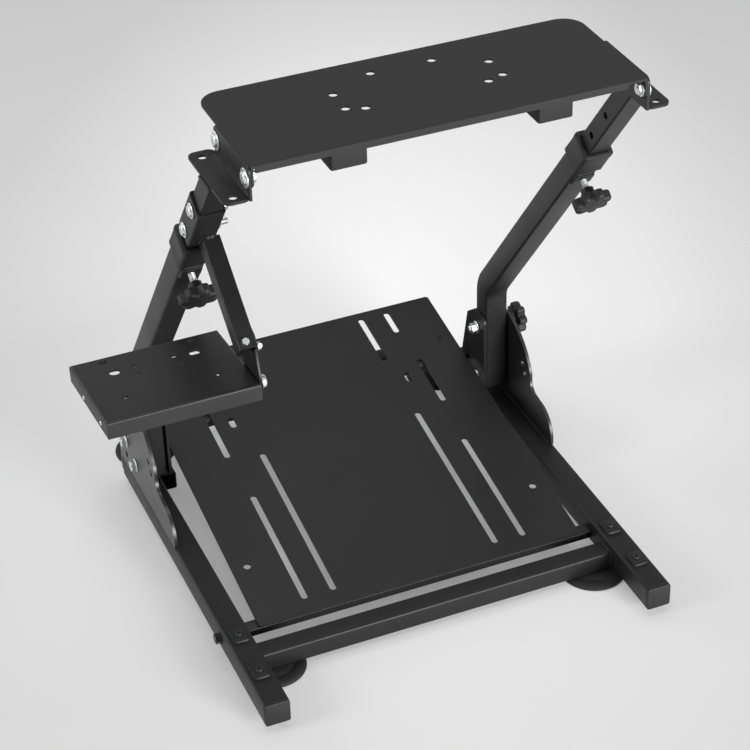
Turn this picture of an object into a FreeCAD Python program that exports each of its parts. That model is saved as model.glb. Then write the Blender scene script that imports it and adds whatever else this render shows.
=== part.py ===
import FreeCAD, Part
import math
import os
import re
import Sketcher

# Racing wheel stand in black square tube.
# Frame: +X to the right of the driver, +Y away from the driver, +Z up, in millimetres.
# The origin is on the floor, midway between the two rails and under the middle of the base.

doc = FreeCAD.newDocument("wheel_stand")
dims = doc.addObject("Spreadsheet::Sheet", "dims")

SIZES = (
    ("tube_side", 30.0, "side of the square rails and outer uprights"),
    ("tube_wall", 1.5, "wall of every square tube"),
    ("tube_round", 2.5, "outside corner radius of the 30 mm and 25 mm tubes"),
    ("slim_side", 25.0, "side of the cross beams and inner uprights"),
    ("rail_centre", 238.5, "distance of each rail from the middle"),
    ("rail_bottom", 11.5, "height of the rails' undersides"),
    ("rail_front", -273.7, "front end of the rail tubes"),
    ("rail_rear", 232.0, "rear end of the rail tubes"),
    ("cap_head", 4.0, "thickness of the plastic end caps outside the tube"),
    ("cap_plug", 16.0, "depth of an end cap inside its tube"),
    ("cap_wall", 2.0, "wall of the cap's plug"),
    ("fit_gap", 0.3, "gap where one piece slides or turns in another"),
    ("plug_gap", 0.1, "gap round the plug of an end cap"),
    ("pad_width", 19.0, "width of the raised pads on the rails"),
    ("pad_length", 26.0, "length of the raised pads"),
    ("pad_height", 3.0, "height of the raised pads"),
    ("pad_first", -233.5, "front edge of the front pads"),
    ("pad_second", -167.0, "front edge of the second pads"),
    ("pad_screw", 4.0, "radius of the pad screws' heads"),
    ("pad_screw_high", 2.4, "height of the pad screws' heads"),
    ("pad_drive", 4.6, "corner-to-corner size of the socket in a pad screw"),
    ("pad_drive_deep", 1.5, "depth of the socket in a pad screw"),
    ("foot_radius", 40.0, "radius of the rubber feet"),
    ("foot_height", 6.0, "height of the rubber feet"),
    ("foot_bevel", 2.5, "bevel round the top of a foot"),
    ("foot_edge", 1.0, "bevel round the sole of a foot"),
    ("foot_hollow", 7.0, "radius of the recess under a foot"),
    ("foot_hollow_high", 1.5, "height of the recess under a foot"),
    ("foot_out", 207.0, "distance of the feet from the middle"),
    ("beam_front", -173.0, "middle of the front beam"),
    ("beam_rear", 289.0, "middle of the rear beam"),
    ("arm_start", 188.0, "front end of the rear arms"),
    ("gusset_gap", 1.0, "gap between an upright and its gusset or ear"),
    ("gusset_thick", 4.0, "thickness of the gussets and ears"),
    ("gusset_toe", 27.0, "front end of the gusset on the rail"),
    ("toe_high", 7.0, "height of the gusset's toe above the rail"),
    ("toe_long", 38.0, "length of the arc behind the toe"),
    ("toe_round", 37.0, "radius of the arc behind the toe"),
    ("toe_drop", 80.0, "rear end of the toe's arc below the gusset's top"),
    ("neck_front", 100.0, "lower end of the neck in front of the fold pivot"),
    ("neck_drop", 78.5, "lower end of the neck below the gusset's top"),
    ("neck_round", 17.0, "radius of the hollow arc in the neck"),
    ("chin_front", 82.0, "lower end of the chin in front of the fold pivot"),
    ("chin_drop", 62.0, "lower end of the chin below the gusset's top"),
    ("chin_round", 28.0, "radius of the chin"),
    ("brow_front", 76.0, "lower end of the brow in front of the fold pivot"),
    ("brow_drop", 42.0, "lower end of the brow below the gusset's top"),
    ("brow_round", 86.0, "radius of the brow"),
    ("crown_front", 19.0, "front end of the gusset's flat top from the fold pivot"),
    ("crown_back", 17.0, "rear end of the gusset's flat top from the fold pivot"),
    ("crown_side", 30.0, "rear edge of the gusset's head from the fold pivot"),
    ("crown_drop", 12.0, "depth of the arc at the rear of the head"),
    ("crown_round", 16.0, "radius of the arc at the rear of the head"),
    ("tail_back", 4.0, "gusset behind the rail's end cap"),
    ("tail_high", 55.0, "height of the gusset's plumb rear edge"),
    ("gusset_low", 20.0, "lowest edge of the gusset behind the rail's end"),
    ("gusset_top", 165.0, "top of the gusset"),
    ("ear_front", 21.0, "front edge of the ear from the fold pivot"),
    ("ear_drop", 12.0, "lower edge of the ear's front below the fold pivot"),
    ("ear_step", 11.0, "rear end of the ear's lower edge from the fold pivot"),
    ("ear_leg", 20.0, "front edge of the ear's leg from the fold pivot"),
    ("ear_step_drop", 22.0, "top of the ear's leg below the fold pivot"),
    ("ear_edge", 12.0, "steel behind the lower pedal hole"),
    ("ear_nose", 8.0, "steel behind the upper pedal hole"),
    ("ear_nose_high", 10.0, "steel above the upper pedal hole"),
    ("ear_back", 29.0, "rear edge of the ear's head from the fold pivot"),
    ("ear_shoulder", 8.0, "rear corner of the ear's head above the lock bolt"),
    ("ear_head", 23.0, "top of the ear above the lock bolt"),
    ("ear_head_back", 9.0, "rear end of the ear's flat top from the fold pivot"),
    ("ear_round", 10.0, "radius of the ear's front upper corner"),
    ("upright_out", 233.5, "distance of the uprights from the middle"),
    ("upright_rear", 169.1, "middle of the upright's lower part along the base"),
    ("upright_low", 58.0, "lower end of the outer upright"),
    ("bend_height", 206.3, "height where the upright's middle lines cross"),
    ("bend_radius", 40.0, "radius of the bend on the tube's middle line"),
    ("lean", 38.1, "lean of the upper part from the vertical, in degrees"),
    ("inner_show", 145.43, "length of the inner upright above the outer one"),
    ("pivot_y", 171.0, "fold pivot along the base"),
    ("pivot_z", 70.0, "height of the fold pivot"),
    ("pivot_bolt", 5.0, "radius of the fold pivot bolt"),
    ("lock_radius", 75.0, "distance of the lock holes from the fold pivot"),
    ("lock_second", 53.0, "fold angle of the second lock hole, in degrees"),
    ("lock_third", 64.0, "fold angle of the third lock hole, in degrees"),
    ("lock_bolt", 4.0, "radius of the lock, pedal and plate bolts"),
    ("hole_gap", 0.3, "gap round a bolt in its hole"),
    ("bolt_head", 5.5, "height of the hexagon heads"),
    ("bolt_across", 15.0, "corner-to-corner size of the hexagon heads and nuts"),
    ("nut_across", 14.0, "corner-to-corner size of the smaller nuts"),
    ("pedal_head_across", 13.5, "corner-to-corner size of the rear pedal bolts' heads"),
    ("pivot_cap_across", 13.0, "corner-to-corner size of the pedal pivots' heads"),
    ("washer_radius", 8.5, "radius of the plain washers"),
    ("washer_thick", 1.6, "thickness of the plain washers"),
    ("nut_high", 7.0, "height of the nuts"),
    ("pivot_head", 3.3, "height of the fold pivot bolt's low head inside the ear"),
    ("bolt_past", 3.0, "bolt end past its nut"),
    ("fold_knob_radius", 20.5, "radius of the fold knobs"),
    ("fold_knob_thick", 13.0, "thickness of the fold knobs"),
    ("fold_knob_hub", 12.0, "length of the hub between gusset and fold knob"),
    ("fold_scallop", 4.9, "radius of the scallops round a fold knob"),
    ("fold_lobes", 7, "lobes of a fold knob"),
    ("hub_share", 0.45, "radius of a knob's hub as a share of its head's"),
    ("scallop_share", 1.06, "centre of a knob's scallops as a share of its radius"),
    ("stud_deep", 5.0, "depth of a stud or screw in its knob's head"),
    ("knob_radius", 23.0, "radius of the height knobs"),
    ("knob_thick", 17.0, "thickness of the height knobs"),
    ("knob_scallop", 5.0, "radius of the scallops round a height knob"),
    ("knob_lobes", 8, "lobes of a height knob"),
    ("knob_hub", 8.0, "length of the hub under a height knob"),
    ("knob_stand", 11.0, "bare screw between boss and hub"),
    ("knob_below", 57.0, "height screw below the outer upright's end"),
    ("boss_long", 20.0, "length of the boss for the height screw"),
    ("boss_wide", 24.0, "width of the boss for the height screw"),
    ("boss_thick", 3.0, "thickness of the boss for the height screw"),
    ("boss_round", 3.0, "corner radius of the boss"),
    ("collar_cover", 37.0, "length of the plastic collar over the outer upright"),
    ("collar_round", 4.0, "outside corner radius of the collar"),
    ("guide_round", 2.2, "corner radius of the openings round the inner upright"),
    ("collar_wall", 3.0, "wall of the plastic collar"),
    ("collar_lip", 4.0, "thickness of the collar's lip over the tube end"),
    ("inner_hidden", 217.0, "length of the inner upright inside the outer one"),
    ("plate_height", 685.9, "height of the wheel plate's front edge"),
    ("plate_ahead", 55.06, "front edge of the wheel plate in front of the upright's end"),
    ("plate_width", 431.0, "width of the wheel plate"),
    ("plate_depth", 165.0, "depth of the wheel plate"),
    ("plate_thick", 2.5, "sheet thickness of the plates"),
    ("plate_round", 25.0, "radius of the wheel plate's far corners"),
    ("plate_flange", 26.0, "height of the wheel plate's side flanges"),
    ("flange_corner", 6.0, "corner cut of the side flanges"),
    ("flange_past", 9.0, "side flange behind its far bolt"),
    ("fold_round", 3.0, "outside radius of the plates' folds"),
    ("lip_high", 7.4, "height of the wheel plate's front lip"),
    ("lip_left", -211.0, "left end of the front lip"),
    ("lip_right", 193.0, "right end of the front lip"),
    ("plate_hole", 5.0, "radius of the wheel plate's holes"),
    ("hole_wide", 87.0, "outer pair of hole pairs from the middle"),
    ("hole_wide_far", 107.0, "far holes of the outer pairs from the front edge"),
    ("hole_wide_near", 74.0, "near holes of the outer pairs from the front edge"),
    ("hole_mid", 68.0, "middle pair from the middle"),
    ("hole_mid_back", 67.0, "middle pair from the front edge"),
    ("hole_slim", 34.5, "inner pair from the middle"),
    ("hole_slim_back", 134.8, "inner pair from the front edge"),
    ("block_in", 93.0, "inner side of the stop blocks from the middle"),
    ("block_wide", 39.5, "width of the stop blocks"),
    ("block_deep", 32.0, "depth of the stop blocks"),
    ("block_high", 23.5, "height of the stop blocks"),
    ("block_round", 2.0, "corner radius of the stop blocks"),
    ("bracket_drop", 34.0, "top of the bracket flange below the wheel plate"),
    ("bracket_thick", 3.0, "thickness of the head brackets"),
    ("bracket_out", 245.0, "outer edge of the bracket flange"),
    ("bracket_near", 55.0, "bracket flange in front of the upright's end"),
    ("bracket_far", 58.0, "bracket flange behind the upright's end"),
    ("bracket_corner", 9.0, "radius of the bracket flange's outer corners"),
    ("bracket_short", 10.0, "bracket's upright plate short of its flange at the rear"),
    ("bracket_front_round", 8.0, "radius of the bracket's front upper corner"),
    ("bracket_rear_round", 6.0, "radius of the bracket's rear upper corner"),
    ("bracket_hole_in", 13.0, "flange holes from the flange's outer edge"),
    ("bracket_hole", 4.5, "radius of the bracket flange's holes"),
    ("bracket_hole_near", 44.0, "near flange hole in front of the upright's end"),
    ("bracket_hole_far", 45.0, "far flange hole behind the upright's end"),
    ("head_bolt_near", 45.0, "near plate bolt in front of the upright's end"),
    ("head_bolt_far", 38.0, "far plate bolt behind the upright's end"),
    ("head_bolt_drop", 15.5, "plate bolts below the wheel plate's front edge"),
    ("head_washer", 12.0, "radius of the plate bolts' inner washers"),
    ("head_small_washer", 8.0, "radius of the plate bolts' outer washers"),
    ("head_small_thick", 1.2, "thickness of the plate bolts' outer washers"),
    ("button_radius", 6.5, "radius of the button heads"),
    ("button_high", 2.8, "height of the plate bolts' heads"),
    ("pedal_bolt_y", 207.03, "rear bolt of the pedal plate along the base"),
    ("pedal_bolt_z", 82.84, "height of the pedal plate's rear bolt"),
    ("pedal_tilt", 10.0, "tilt of the pedal plate, in degrees"),
    ("pedal_low_tilt", 6.2, "tilt in the lower pedal holes, in degrees"),
    ("pedal_reach", 340.0, "distance between the two cross tubes"),
    ("pedal_width", 415.0, "width of the pedal plate"),
    ("pedal_length", 459.0, "length of the pedal plate"),
    ("cross_deep", 15.0, "depth of the flat cross tubes"),
    ("cross_high", 12.0, "height of the flat cross tubes"),
    ("cross_plug", 14.0, "solid end of the flat cross tubes"),
    ("cross_round", 1.5, "corner radius of the flat cross tubes"),
    ("pedal_corner", 4.0, "corner radius of the pedal plate"),
    ("pivot_washer", 1.0, "thickness of the pedal pivots' washers"),
    ("pivot_cap", 5.0, "height of the pedal pivots' heads"),
    ("pedal_spacer", 6.5, "radius of the spacer on a rear pedal bolt"),
    ("pedal_hole", 4.5, "radius of the pedal plate's corner holes"),
    ("pedal_hole_out", 188.0, "corner holes from the middle"),
    ("pedal_hole_near", 92.0, "near corner holes from the front edge"),
    ("pedal_hole_far", 376.0, "far corner holes from the front edge"),
    ("slot_half", 4.0, "half width of the pedal plate's slots"),
    ("slot_in", 105.2, "inner slots from the middle"),
    ("slot_out", 141.7, "outer slots from the middle"),
    ("slot_side", 147.0, "middle slots from the middle"),
    ("slot_short", 121.0, "short slots from the middle"),
    ("slot_in_start", 22.0, "near end of the long inner slots from the front edge"),
    ("slot_in_end", 261.0, "far end of the long inner slots"),
    ("slot_far_start", 362.0, "near end of the far inner slots"),
    ("slot_far_end", 448.0, "far end of the far slots"),
    ("slot_out_start", 21.0, "near end of the long outer slots"),
    ("slot_out_end", 197.5, "far end of the long outer slots"),
    ("slot_stub_start", 407.0, "near end of the far outer slots"),
    ("slot_side_start", 268.0, "near end of the middle slots"),
    ("slot_side_end", 350.0, "far end of the middle slots"),
    ("slot_short_start", 315.0, "near end of the short slots"),
    ("slot_short_end", 334.0, "far end of the short slots"),
    ("shifter_ahead", 8.9, "front edge of the shifter plate in front of the arm's end"),
    ("shifter_drop", 37.54, "shifter plate's front edge below the arm's end"),
    ("shifter_fall", 5.7, "fall of the shifter plate to the far side, in degrees"),
    ("shifter_width", 166.0, "width of the shifter plate"),
    ("shifter_depth", 137.0, "depth of the shifter plate"),
    ("shifter_flange", 19.0, "height of the shifter plate's flanges"),
    ("shifter_inner", -215.5, "right side of the shifter plate"),
    ("big_hole", 6.0, "radius of the large shifter holes"),
    ("big_hole_out", 44.0, "large holes from the shifter plate's middle"),
    ("big_hole_back", 99.5, "large holes from the shifter plate's front edge"),
    ("mid_hole", 4.5, "radius of the far shifter holes"),
    ("mid_hole_out", 48.5, "far holes from the shifter plate's middle"),
    ("mid_hole_back", 126.0, "far holes from the shifter plate's front edge"),
    ("small_hole", 3.5, "radius of the small shifter holes"),
    ("upper_hole_out", 21.5, "upper small holes from the shifter plate's middle"),
    ("upper_hole_back", 103.0, "upper small holes from the front edge"),
    ("lower_hole_out", 22.3, "lower small holes from the shifter plate's middle"),
    ("lower_hole_back", 84.5, "lower small holes from the front edge"),
    ("near_hole_out", 49.0, "near holes from the shifter plate's middle"),
    ("near_hole_back", 42.5, "near holes from the front edge"),
    ("sleeve_above", 20.0, "shifter sleeve above the outer upright's end"),
    ("sleeve_round", 3.0, "outside corner radius of the sleeve"),
    ("sleeve_long", 72.0, "length of the shifter sleeve"),
    ("sleeve_wall", 2.5, "wall of the shifter sleeve"),
    ("sleeve_bolt_low", 9.0, "lower bolt above the sleeve's lower end"),
    ("sleeve_bolt_high", 58.0, "upper bolt above the sleeve's lower end"),
    ("sleeve_head", 4.0, "height of the sleeve bolts' heads"),
    ("sleeve_bolt_past", 9.0, "sleeve bolt end past the sleeve"),
    ("arm_side", 20.0, "side of the shifter arm"),
    ("arm_above", 4.0, "middle of the shifter arm above the sleeve's lower end"),
    ("arm_round", 2.0, "corner radius of the shifter arm"),
    ("arm_long", 126.5, "length of the shifter arm"),
    ("tab_thick", 3.0, "thickness of the shifter tab"),
    ("tab_front", 5.0, "front edge of the tab behind the shifter plate's"),
    ("tab_low", 17.0, "lower edge of the tab below the shifter plate's front edge"),
    ("tab_low_back", 46.0, "rear end of the tab's lower edge"),
    ("tab_back", 56.0, "rear edge of the tab behind the shifter plate's front"),
    ("tab_back_high", 4.0, "rear corner of the tab above the shifter plate's front edge"),
    ("tab_top_back", 44.0, "rear end of the tab's upper edge"),
    ("tab_top_high", 58.0, "rear end of the tab's upper edge above the front edge"),
    ("tab_top_front", 22.0, "front end of the tab's upper edge"),
    ("tab_top_low", 49.0, "front end of the tab's upper edge above the front edge"),
    ("tab_brow", 14.0, "tab's front edge where its hollow starts"),
    ("tab_brow_high", 34.0, "height where the hollow of the tab's front starts"),
    ("tab_chin_high", 4.0, "height where the hollow of the tab's front ends"),
    ("tab_hollow", 80.0, "radius of the hollow in the tab's front edge"),
    ("tab_round", 14.0, "radius of the tab's front upper corner"),
)

for row, (name, number, meaning) in enumerate(SIZES, start=1):
    dims.set("A%d" % row, str(number))
    dims.setAlias("A%d" % row, name)
    dims.set("B%d" % row, meaning)
doc.recompute()

NAMES = {name for name, number, meaning in SIZES}
WORD = re.compile(r"[A-Za-z_]\w*")
NEAR = 1e-6
NORMAL_SIGN = {"XY_Plane": 1, "YZ_Plane": 1, "XZ_Plane": -1}


def bound(text):
    """The expression with each size named as a cell of the sheet."""
    return WORD.sub(lambda word: "dims." + word.group(0) if word.group(0) in NAMES else word.group(0), text)


def size(text):
    """The expression's value now, worked out from the sheet."""
    known = {name: float(dims.get(name)) for name in WORD.findall(text) if name in NAMES}

    def number(word):
        return "(%r)" % known[word.group(0)] if word.group(0) in known else word.group(0)

    numbers = WORD.sub(number, text)
    return float(dims.evalExpression(numbers))


# Sketch pieces

# The numbers that a sketch gives to the points of a line, an arc or a circle
START, END, CENTRE = 1, 2, 3
SKETCH_ORIGIN = (-1, START)

def fix(sketch, kind, text, *where):
    index = sketch.addConstraint(Sketcher.Constraint(kind, *where, size(text)))
    sketch.setExpression("Constraints[%d]" % index, bound(text))


def fix_point(sketch, geometry, place, across, up):
    fix(sketch, "DistanceX", across, *SKETCH_ORIGIN, geometry, place)
    fix(sketch, "DistanceY", up, *SKETCH_ORIGIN, geometry, place)


def circle(sketch, across, up, radius):
    centre = FreeCAD.Vector(size(across), size(up), 0)
    index = sketch.addGeometry(Part.Circle(centre, FreeCAD.Vector(0, 0, 1), size(radius)))
    fix(sketch, "Radius", radius, index)
    fix_point(sketch, index, CENTRE, across, up)


def outline(sketch, corners):
    """A closed outline of lines and arcs.

    Each corner is (across, up) where a line starts, or (across, up, radius, turn) where an
    arc starts: its centre lies to the left of the way to the next corner where turn is 1.
    """
    points = [FreeCAD.Vector(size(corner[0]), size(corner[1]), 0) for corner in corners]
    pieces = []
    for index, corner in enumerate(corners):
        start = points[index]
        end = points[(index + 1) % len(points)]
        if len(corner) == 2:
            pieces.append((sketch.addGeometry(Part.LineSegment(start, end)), START, END))
            continue
        radius = size(corner[2])
        turn = corner[3]
        chord = end - start
        half = chord.Length / 2
        rise = math.sqrt(max(radius * radius - half * half, 0.0))
        side = FreeCAD.Vector(-chord.y, chord.x, 0).normalize() * (rise * turn)
        centre = start + chord * 0.5 + side
        first, last = (start, end) if turn > 0 else (end, start)
        begin = math.atan2(first.y - centre.y, first.x - centre.x)
        finish = math.atan2(last.y - centre.y, last.x - centre.x)
        arc = Part.ArcOfCircle(Part.Circle(centre, FreeCAD.Vector(0, 0, 1), radius), begin, finish)
        ends = (START, END) if turn > 0 else (END, START)
        pieces.append((sketch.addGeometry(arc), *ends))
    for index, corner in enumerate(corners):
        geometry, start_place, end_place = pieces[index]
        following = pieces[(index + 1) % len(pieces)]
        sketch.addConstraint(Sketcher.Constraint("Coincident", geometry, end_place, following[0], following[1]))
        fix_point(sketch, geometry, start_place, corner[0], corner[1])
        if len(corner) > 2:
            fix(sketch, "Radius", corner[2], geometry)


def rectangle(sketch, left, right, low, high):
    outline(sketch, [(left, low), (right, low), (right, high), (left, high)])


def rounded(sketch, left, right, low, high, radius):
    outline(sketch, [
        (f"{left} + {radius}", low),
        (f"{right} - {radius}", low, radius, 1),
        (right, f"{low} + {radius}"),
        (right, f"{high} - {radius}", radius, 1),
        (f"{right} - {radius}", high),
        (f"{left} + {radius}", high, radius, 1),
        (left, f"{high} - {radius}"),
        (left, f"{low} + {radius}", radius, 1),
    ])


def square_ring(sketch, side, wall, corner):
    """The section of a square tube about the sketch's origin."""
    rounded(sketch, f"-{side} / 2", f"{side} / 2", f"-{side} / 2", f"{side} / 2", corner)
    inside = f"({side} / 2 - {wall})"
    rounded(sketch, f"-{inside}", inside, f"-{inside}", inside, f"({corner} - {wall})")


def hexagon(sketch, across, up, corners):
    """A hexagon of the given corner-to-corner size, two corners level with its centre."""
    half = f"(({corners}) / 2)"
    tall = f"(({corners}) * sqrt(3) / 4)"
    outline(sketch, [
        (f"{across} + {half}", up),
        (f"{across} + {half} / 2", f"{up} + {tall}"),
        (f"{across} - {half} / 2", f"{up} + {tall}"),
        (f"{across} - {half}", up),
        (f"{across} - {half} / 2", f"{up} - {tall}"),
        (f"{across} + {half} / 2", f"{up} - {tall}"),
    ])


def slot(sketch, across, low, high, half):
    """A slot with round ends that runs up the sketch from low to high, over all."""
    outline(sketch, [
        (f"{across} + {half}", f"{low} + {half}"),
        (f"{across} + {half}", f"{high} - {half}", f"({half} * 1.0001)", 1),
        (f"{across} - {half}", f"{high} - {half}"),
        (f"{across} - {half}", f"{low} + {half}", f"({half} * 1.0001)", 1),
    ])


# Bodies and features

def new_body(label, across="0", along="0", up="0", tilt="0"):
    """A body at a place, turned about the X axis by tilt degrees."""
    body = doc.addObject("PartDesign::Body", label)
    body.Label = label
    turn = FreeCAD.Rotation(FreeCAD.Vector(1, 0, 0), size(tilt))
    body.Placement = FreeCAD.Placement(FreeCAD.Vector(size(across), size(along), size(up)), turn)
    body.setExpression("Placement.Base.x", bound(across))
    body.setExpression("Placement.Base.y", bound(along))
    body.setExpression("Placement.Base.z", bound(up))
    if tilt != "0":
        body.setExpression("Placement.Rotation.Angle", bound(tilt))
    nodes.append(body)
    return body


def sketch_on(body, role, offset):
    sketch = body.newObject("Sketcher::SketchObject", body.Label + "_sketch")
    plane = [item for item in body.Origin.OriginFeatures if item.Role == role][0]
    sketch.AttachmentSupport = (plane, [""])
    sketch.MapMode = "FlatFace"
    sketch.setExpression("AttachmentOffset.Base.z", bound(offset))
    return sketch


def add(body, role, low, high, draw):
    """Material from low to high along the normal of the body's plane."""
    sketch = sketch_on(body, role, low if NORMAL_SIGN[role] > 0 else f"-({high})")
    draw(sketch)
    pad = body.newObject("PartDesign::Pad", body.Label + "_pad")
    pad.Profile = sketch
    pad.setExpression("Length", bound(f"({high}) - ({low})"))
    return pad


def cut(body, role, low, high, draw):
    """A pocket from high down to low along the normal of the body's plane."""
    sketch = sketch_on(body, role, high if NORMAL_SIGN[role] > 0 else f"-({low})")
    draw(sketch)
    pocket = body.newObject("PartDesign::Pocket", body.Label + "_pocket")
    pocket.Profile = sketch
    pocket.setExpression("Length", bound(f"({high}) - ({low})"))
    return pocket


def span(side, inner, outer):
    """The range between two distances from the middle, on the left or the right."""
    return (inner, outer) if side > 0 else (f"-({outer})", f"-({inner})")


def each(draw, places, *rest):
    """A drawing step that repeats one shape at several places."""
    def draw_all(sketch):
        for across, up in places:
            draw(sketch, across, up, *rest)
    return draw_all


def fastener(body, side, inner, outer, places, shank, layers):
    """Bolts along X: a shank from inner to outer, and layers of (shape, size, from, to)."""
    low, high = span(side, inner, outer)
    add(body, "YZ_Plane", low, high, each(circle, places, shank))
    for shape, measure, start, end in layers:
        low, high = span(side, start, end)
        add(body, "YZ_Plane", low, high, each(shape, places, measure))


def star(body, role, low, high, radius, lobes, scallop):
    """A round knob head with scallops cut round its edge."""
    add(body, role, low, high, lambda sketch: circle(sketch, "0", "0", radius))
    pocket = cut(body, role, low, high,
                 lambda sketch: circle(sketch, f"{radius} * scallop_share", "0", scallop))
    pattern = body.newObject("PartDesign::PolarPattern", body.Label + "_lobes")
    pattern.Originals = [pocket]
    pattern.Axis = (pocket.Profile[0], ["N_Axis"])
    pattern.Angle = 360
    pattern.setExpression("Occurrences", bound(lobes))
    body.Tip = pattern


def ease_folds(body, radius):
    """Rounds the folds of a pan: the straight edges of its upper face, at the body's own level."""
    doc.recompute()
    folds = []
    for index, edge in enumerate(body.Tip.Shape.Edges, start=1):
        box = edge.BoundBox
        level = max(abs(box.ZMin), abs(box.ZMax)) < NEAR
        if level and edge.Curve.TypeId == "Part::GeomLine":
            folds.append(f"Edge{index}")
    base = body.Tip
    fillet = body.newObject("PartDesign::Fillet", body.Label + "_folds")
    fillet.Base = (base, folds)
    fillet.setExpression("Radius", bound(radius))


nodes = []
SIDES = (("left", -1), ("right", 1))

# Places worked out from the sizes
RAIL_MID = "(rail_bottom + tube_side / 2)"
RAIL_TOP = "(rail_bottom + tube_side)"
RAIL_IN = "(rail_centre - tube_side / 2)"
RAIL_OUT = "(rail_centre + tube_side / 2)"
BEAM_LOW_MID = "(foot_height + slim_side / 2)"
BEAM_TOP = "(foot_height + slim_side)"
ARM_MID = "(rail_centre - tube_side / 2 - slim_side / 2)"
ARM_END = "(beam_rear + slim_side / 2)"
UP_OUT = "(upright_out + tube_side / 2)"
UP_IN = "(upright_out - tube_side / 2)"
GUSSET_IN = f"({UP_OUT} + gusset_gap)"
GUSSET_OUT = f"({GUSSET_IN} + gusset_thick)"
EAR_OUT = f"({UP_IN} - gusset_gap)"
EAR_IN = f"({EAR_OUT} - gusset_thick)"
LOCK_Y = "pivot_y"
LOCK_Z = "(pivot_z + lock_radius)"
PEDAL_Y = "(pedal_bolt_y - pedal_reach * cos(pedal_tilt))"
PEDAL_Z = "(pedal_bolt_z - pedal_reach * sin(pedal_tilt))"
PEDAL_LOW_Y = f"({PEDAL_Y} + pedal_reach * cos(pedal_low_tilt))"
PEDAL_LOW_Z = f"({PEDAL_Z} + pedal_reach * sin(pedal_low_tilt))"
FLANGE_LOW = "(plate_height - bracket_drop - bracket_thick)"
HEAD_Y = f"(upright_rear - tan(lean) * ({FLANGE_LOW} - bend_height))"
BOLT_HOLE = "(lock_bolt + hole_gap)"
PIVOT_HOLE = "(pivot_bolt + hole_gap)"
COLLAR_SIDE = "(tube_side + 2 * collar_wall)"
SLEEVE_SIDE = "(slim_side + 2 * fit_gap + 2 * sleeve_wall)"
PLATE_FRONT = f"({HEAD_Y} - plate_ahead)"
REACH = f"(({FLANGE_LOW} - bend_height) / cos(lean))"
OUTER_REACH = f"({REACH} - inner_show)"
KNOB_SEAT = f"({OUTER_REACH} - knob_below)"
SLEEVE_START = f"({OUTER_REACH} + sleeve_above)"
SLEEVE_BOLTS = [("0", f"{SLEEVE_START} + sleeve_bolt_low"), ("0", f"{SLEEVE_START} + sleeve_bolt_high")]
ARM_SEAT = f"({SLEEVE_START} + arm_above)"
ARM_OUT = f"({SLEEVE_SIDE} / 2 + arm_long)"
SHIFTER_Y = f"(upright_rear - {ARM_SEAT} * sin(lean) - {ARM_OUT} * cos(lean) - shifter_ahead)"
SHIFTER_Z = f"(bend_height + {ARM_SEAT} * cos(lean) - {ARM_OUT} * sin(lean) - shifter_drop)"
LEAN = {"along": "upright_rear", "up": "bend_height", "tilt": "lean"}


def rail(name, side):
    body = new_body(f"rail_{name}", f"{side} * rail_centre", "0", RAIL_MID)
    add(body, "XZ_Plane", "rail_front", "rail_rear",
        lambda sketch: square_ring(sketch, "tube_side", "tube_wall", "tube_round"))
    cut(body, "YZ_Plane", "-tube_side", "tube_side",
        lambda sketch: circle(sketch, PEDAL_Y, f"{PEDAL_Z} - {RAIL_MID}", BOLT_HOLE))


def end_caps(row, face, way):
    """The plastic caps of one end: a head over each tube's end and a hollow plug inside it."""
    body = new_body(f"rail_caps_{row}", "0", face, RAIL_MID)
    plug = "(tube_side / 2 - tube_wall - plug_gap)"
    hollow = f"({plug} - cap_wall)"
    half = "(tube_side / 2)"
    head = ("0", "cap_head") if way > 0 else ("-cap_head", "0")
    inside = ("-cap_plug", "0") if way > 0 else ("0", "cap_plug")
    for name, side in SIDES:
        mid = f"{side} * rail_centre"
        add(body, "XZ_Plane", *head, lambda sketch: rounded(
            sketch, f"{mid} - {half}", f"{mid} + {half}", f"-{half}", half, "tube_round"))
        add(body, "XZ_Plane", *inside, lambda sketch: rectangle(
            sketch, f"{mid} - {plug}", f"{mid} + {plug}", f"-{plug}", plug))
        cut(body, "XZ_Plane", *inside, lambda sketch: rectangle(
            sketch, f"{mid} - {hollow}", f"{mid} + {hollow}", f"-{hollow}", hollow))


def rail_pads():
    """Two raised pads on each rail and, in a node of their own, the screws in them."""
    pads = new_body("rail_pads", "0", "0", RAIL_TOP)
    screws = new_body("pad_screws", "0", "0", RAIL_TOP)
    sites = [(f"{side} * rail_centre", start) for name, side in SIDES for start in ("pad_first", "pad_second")]

    def tops(sketch):
        for mid, start in sites:
            rounded(sketch, f"{mid} - pad_width / 2", f"{mid} + pad_width / 2",
                    start, f"{start} + pad_length", "tube_round")

    add(pads, "XY_Plane", "0", "pad_height", tops)
    places = [(mid, f"{start} + pad_length / 2") for mid, start in sites]
    add(screws, "XY_Plane", "pad_height", "pad_height + pad_screw_high", each(circle, places, "pad_screw"))
    top = "(pad_height + pad_screw_high)"
    cut(screws, "XY_Plane", f"{top} - pad_drive_deep", top, each(hexagon, places, "pad_drive"))


def foot(name, side, row, along):
    body = new_body(f"foot_{row}_{name}", f"{side} * foot_out", along)
    sketch = sketch_on(body, "XZ_Plane", "0")
    outline(sketch, [
        ("0", "foot_hollow_high"), ("foot_hollow", "foot_hollow_high"), ("foot_hollow", "0"),
        ("foot_radius - foot_edge", "0"), ("foot_radius", "foot_edge"),
        ("foot_radius", "foot_height - foot_bevel"), ("foot_radius - foot_bevel", "foot_height"),
        ("0", "foot_height"),
    ])
    turned = body.newObject("PartDesign::Revolution", body.Label + "_turned")
    turned.Profile = sketch
    turned.ReferenceAxis = (sketch, ["V_Axis"])
    turned.Angle = 360


def beam(label, along, mid):
    body = new_body(label, "0", along, mid)
    add(body, "YZ_Plane", f"-{RAIL_IN}", RAIL_IN,
        lambda sketch: square_ring(sketch, "slim_side", "tube_wall", "tube_round"))


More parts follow.
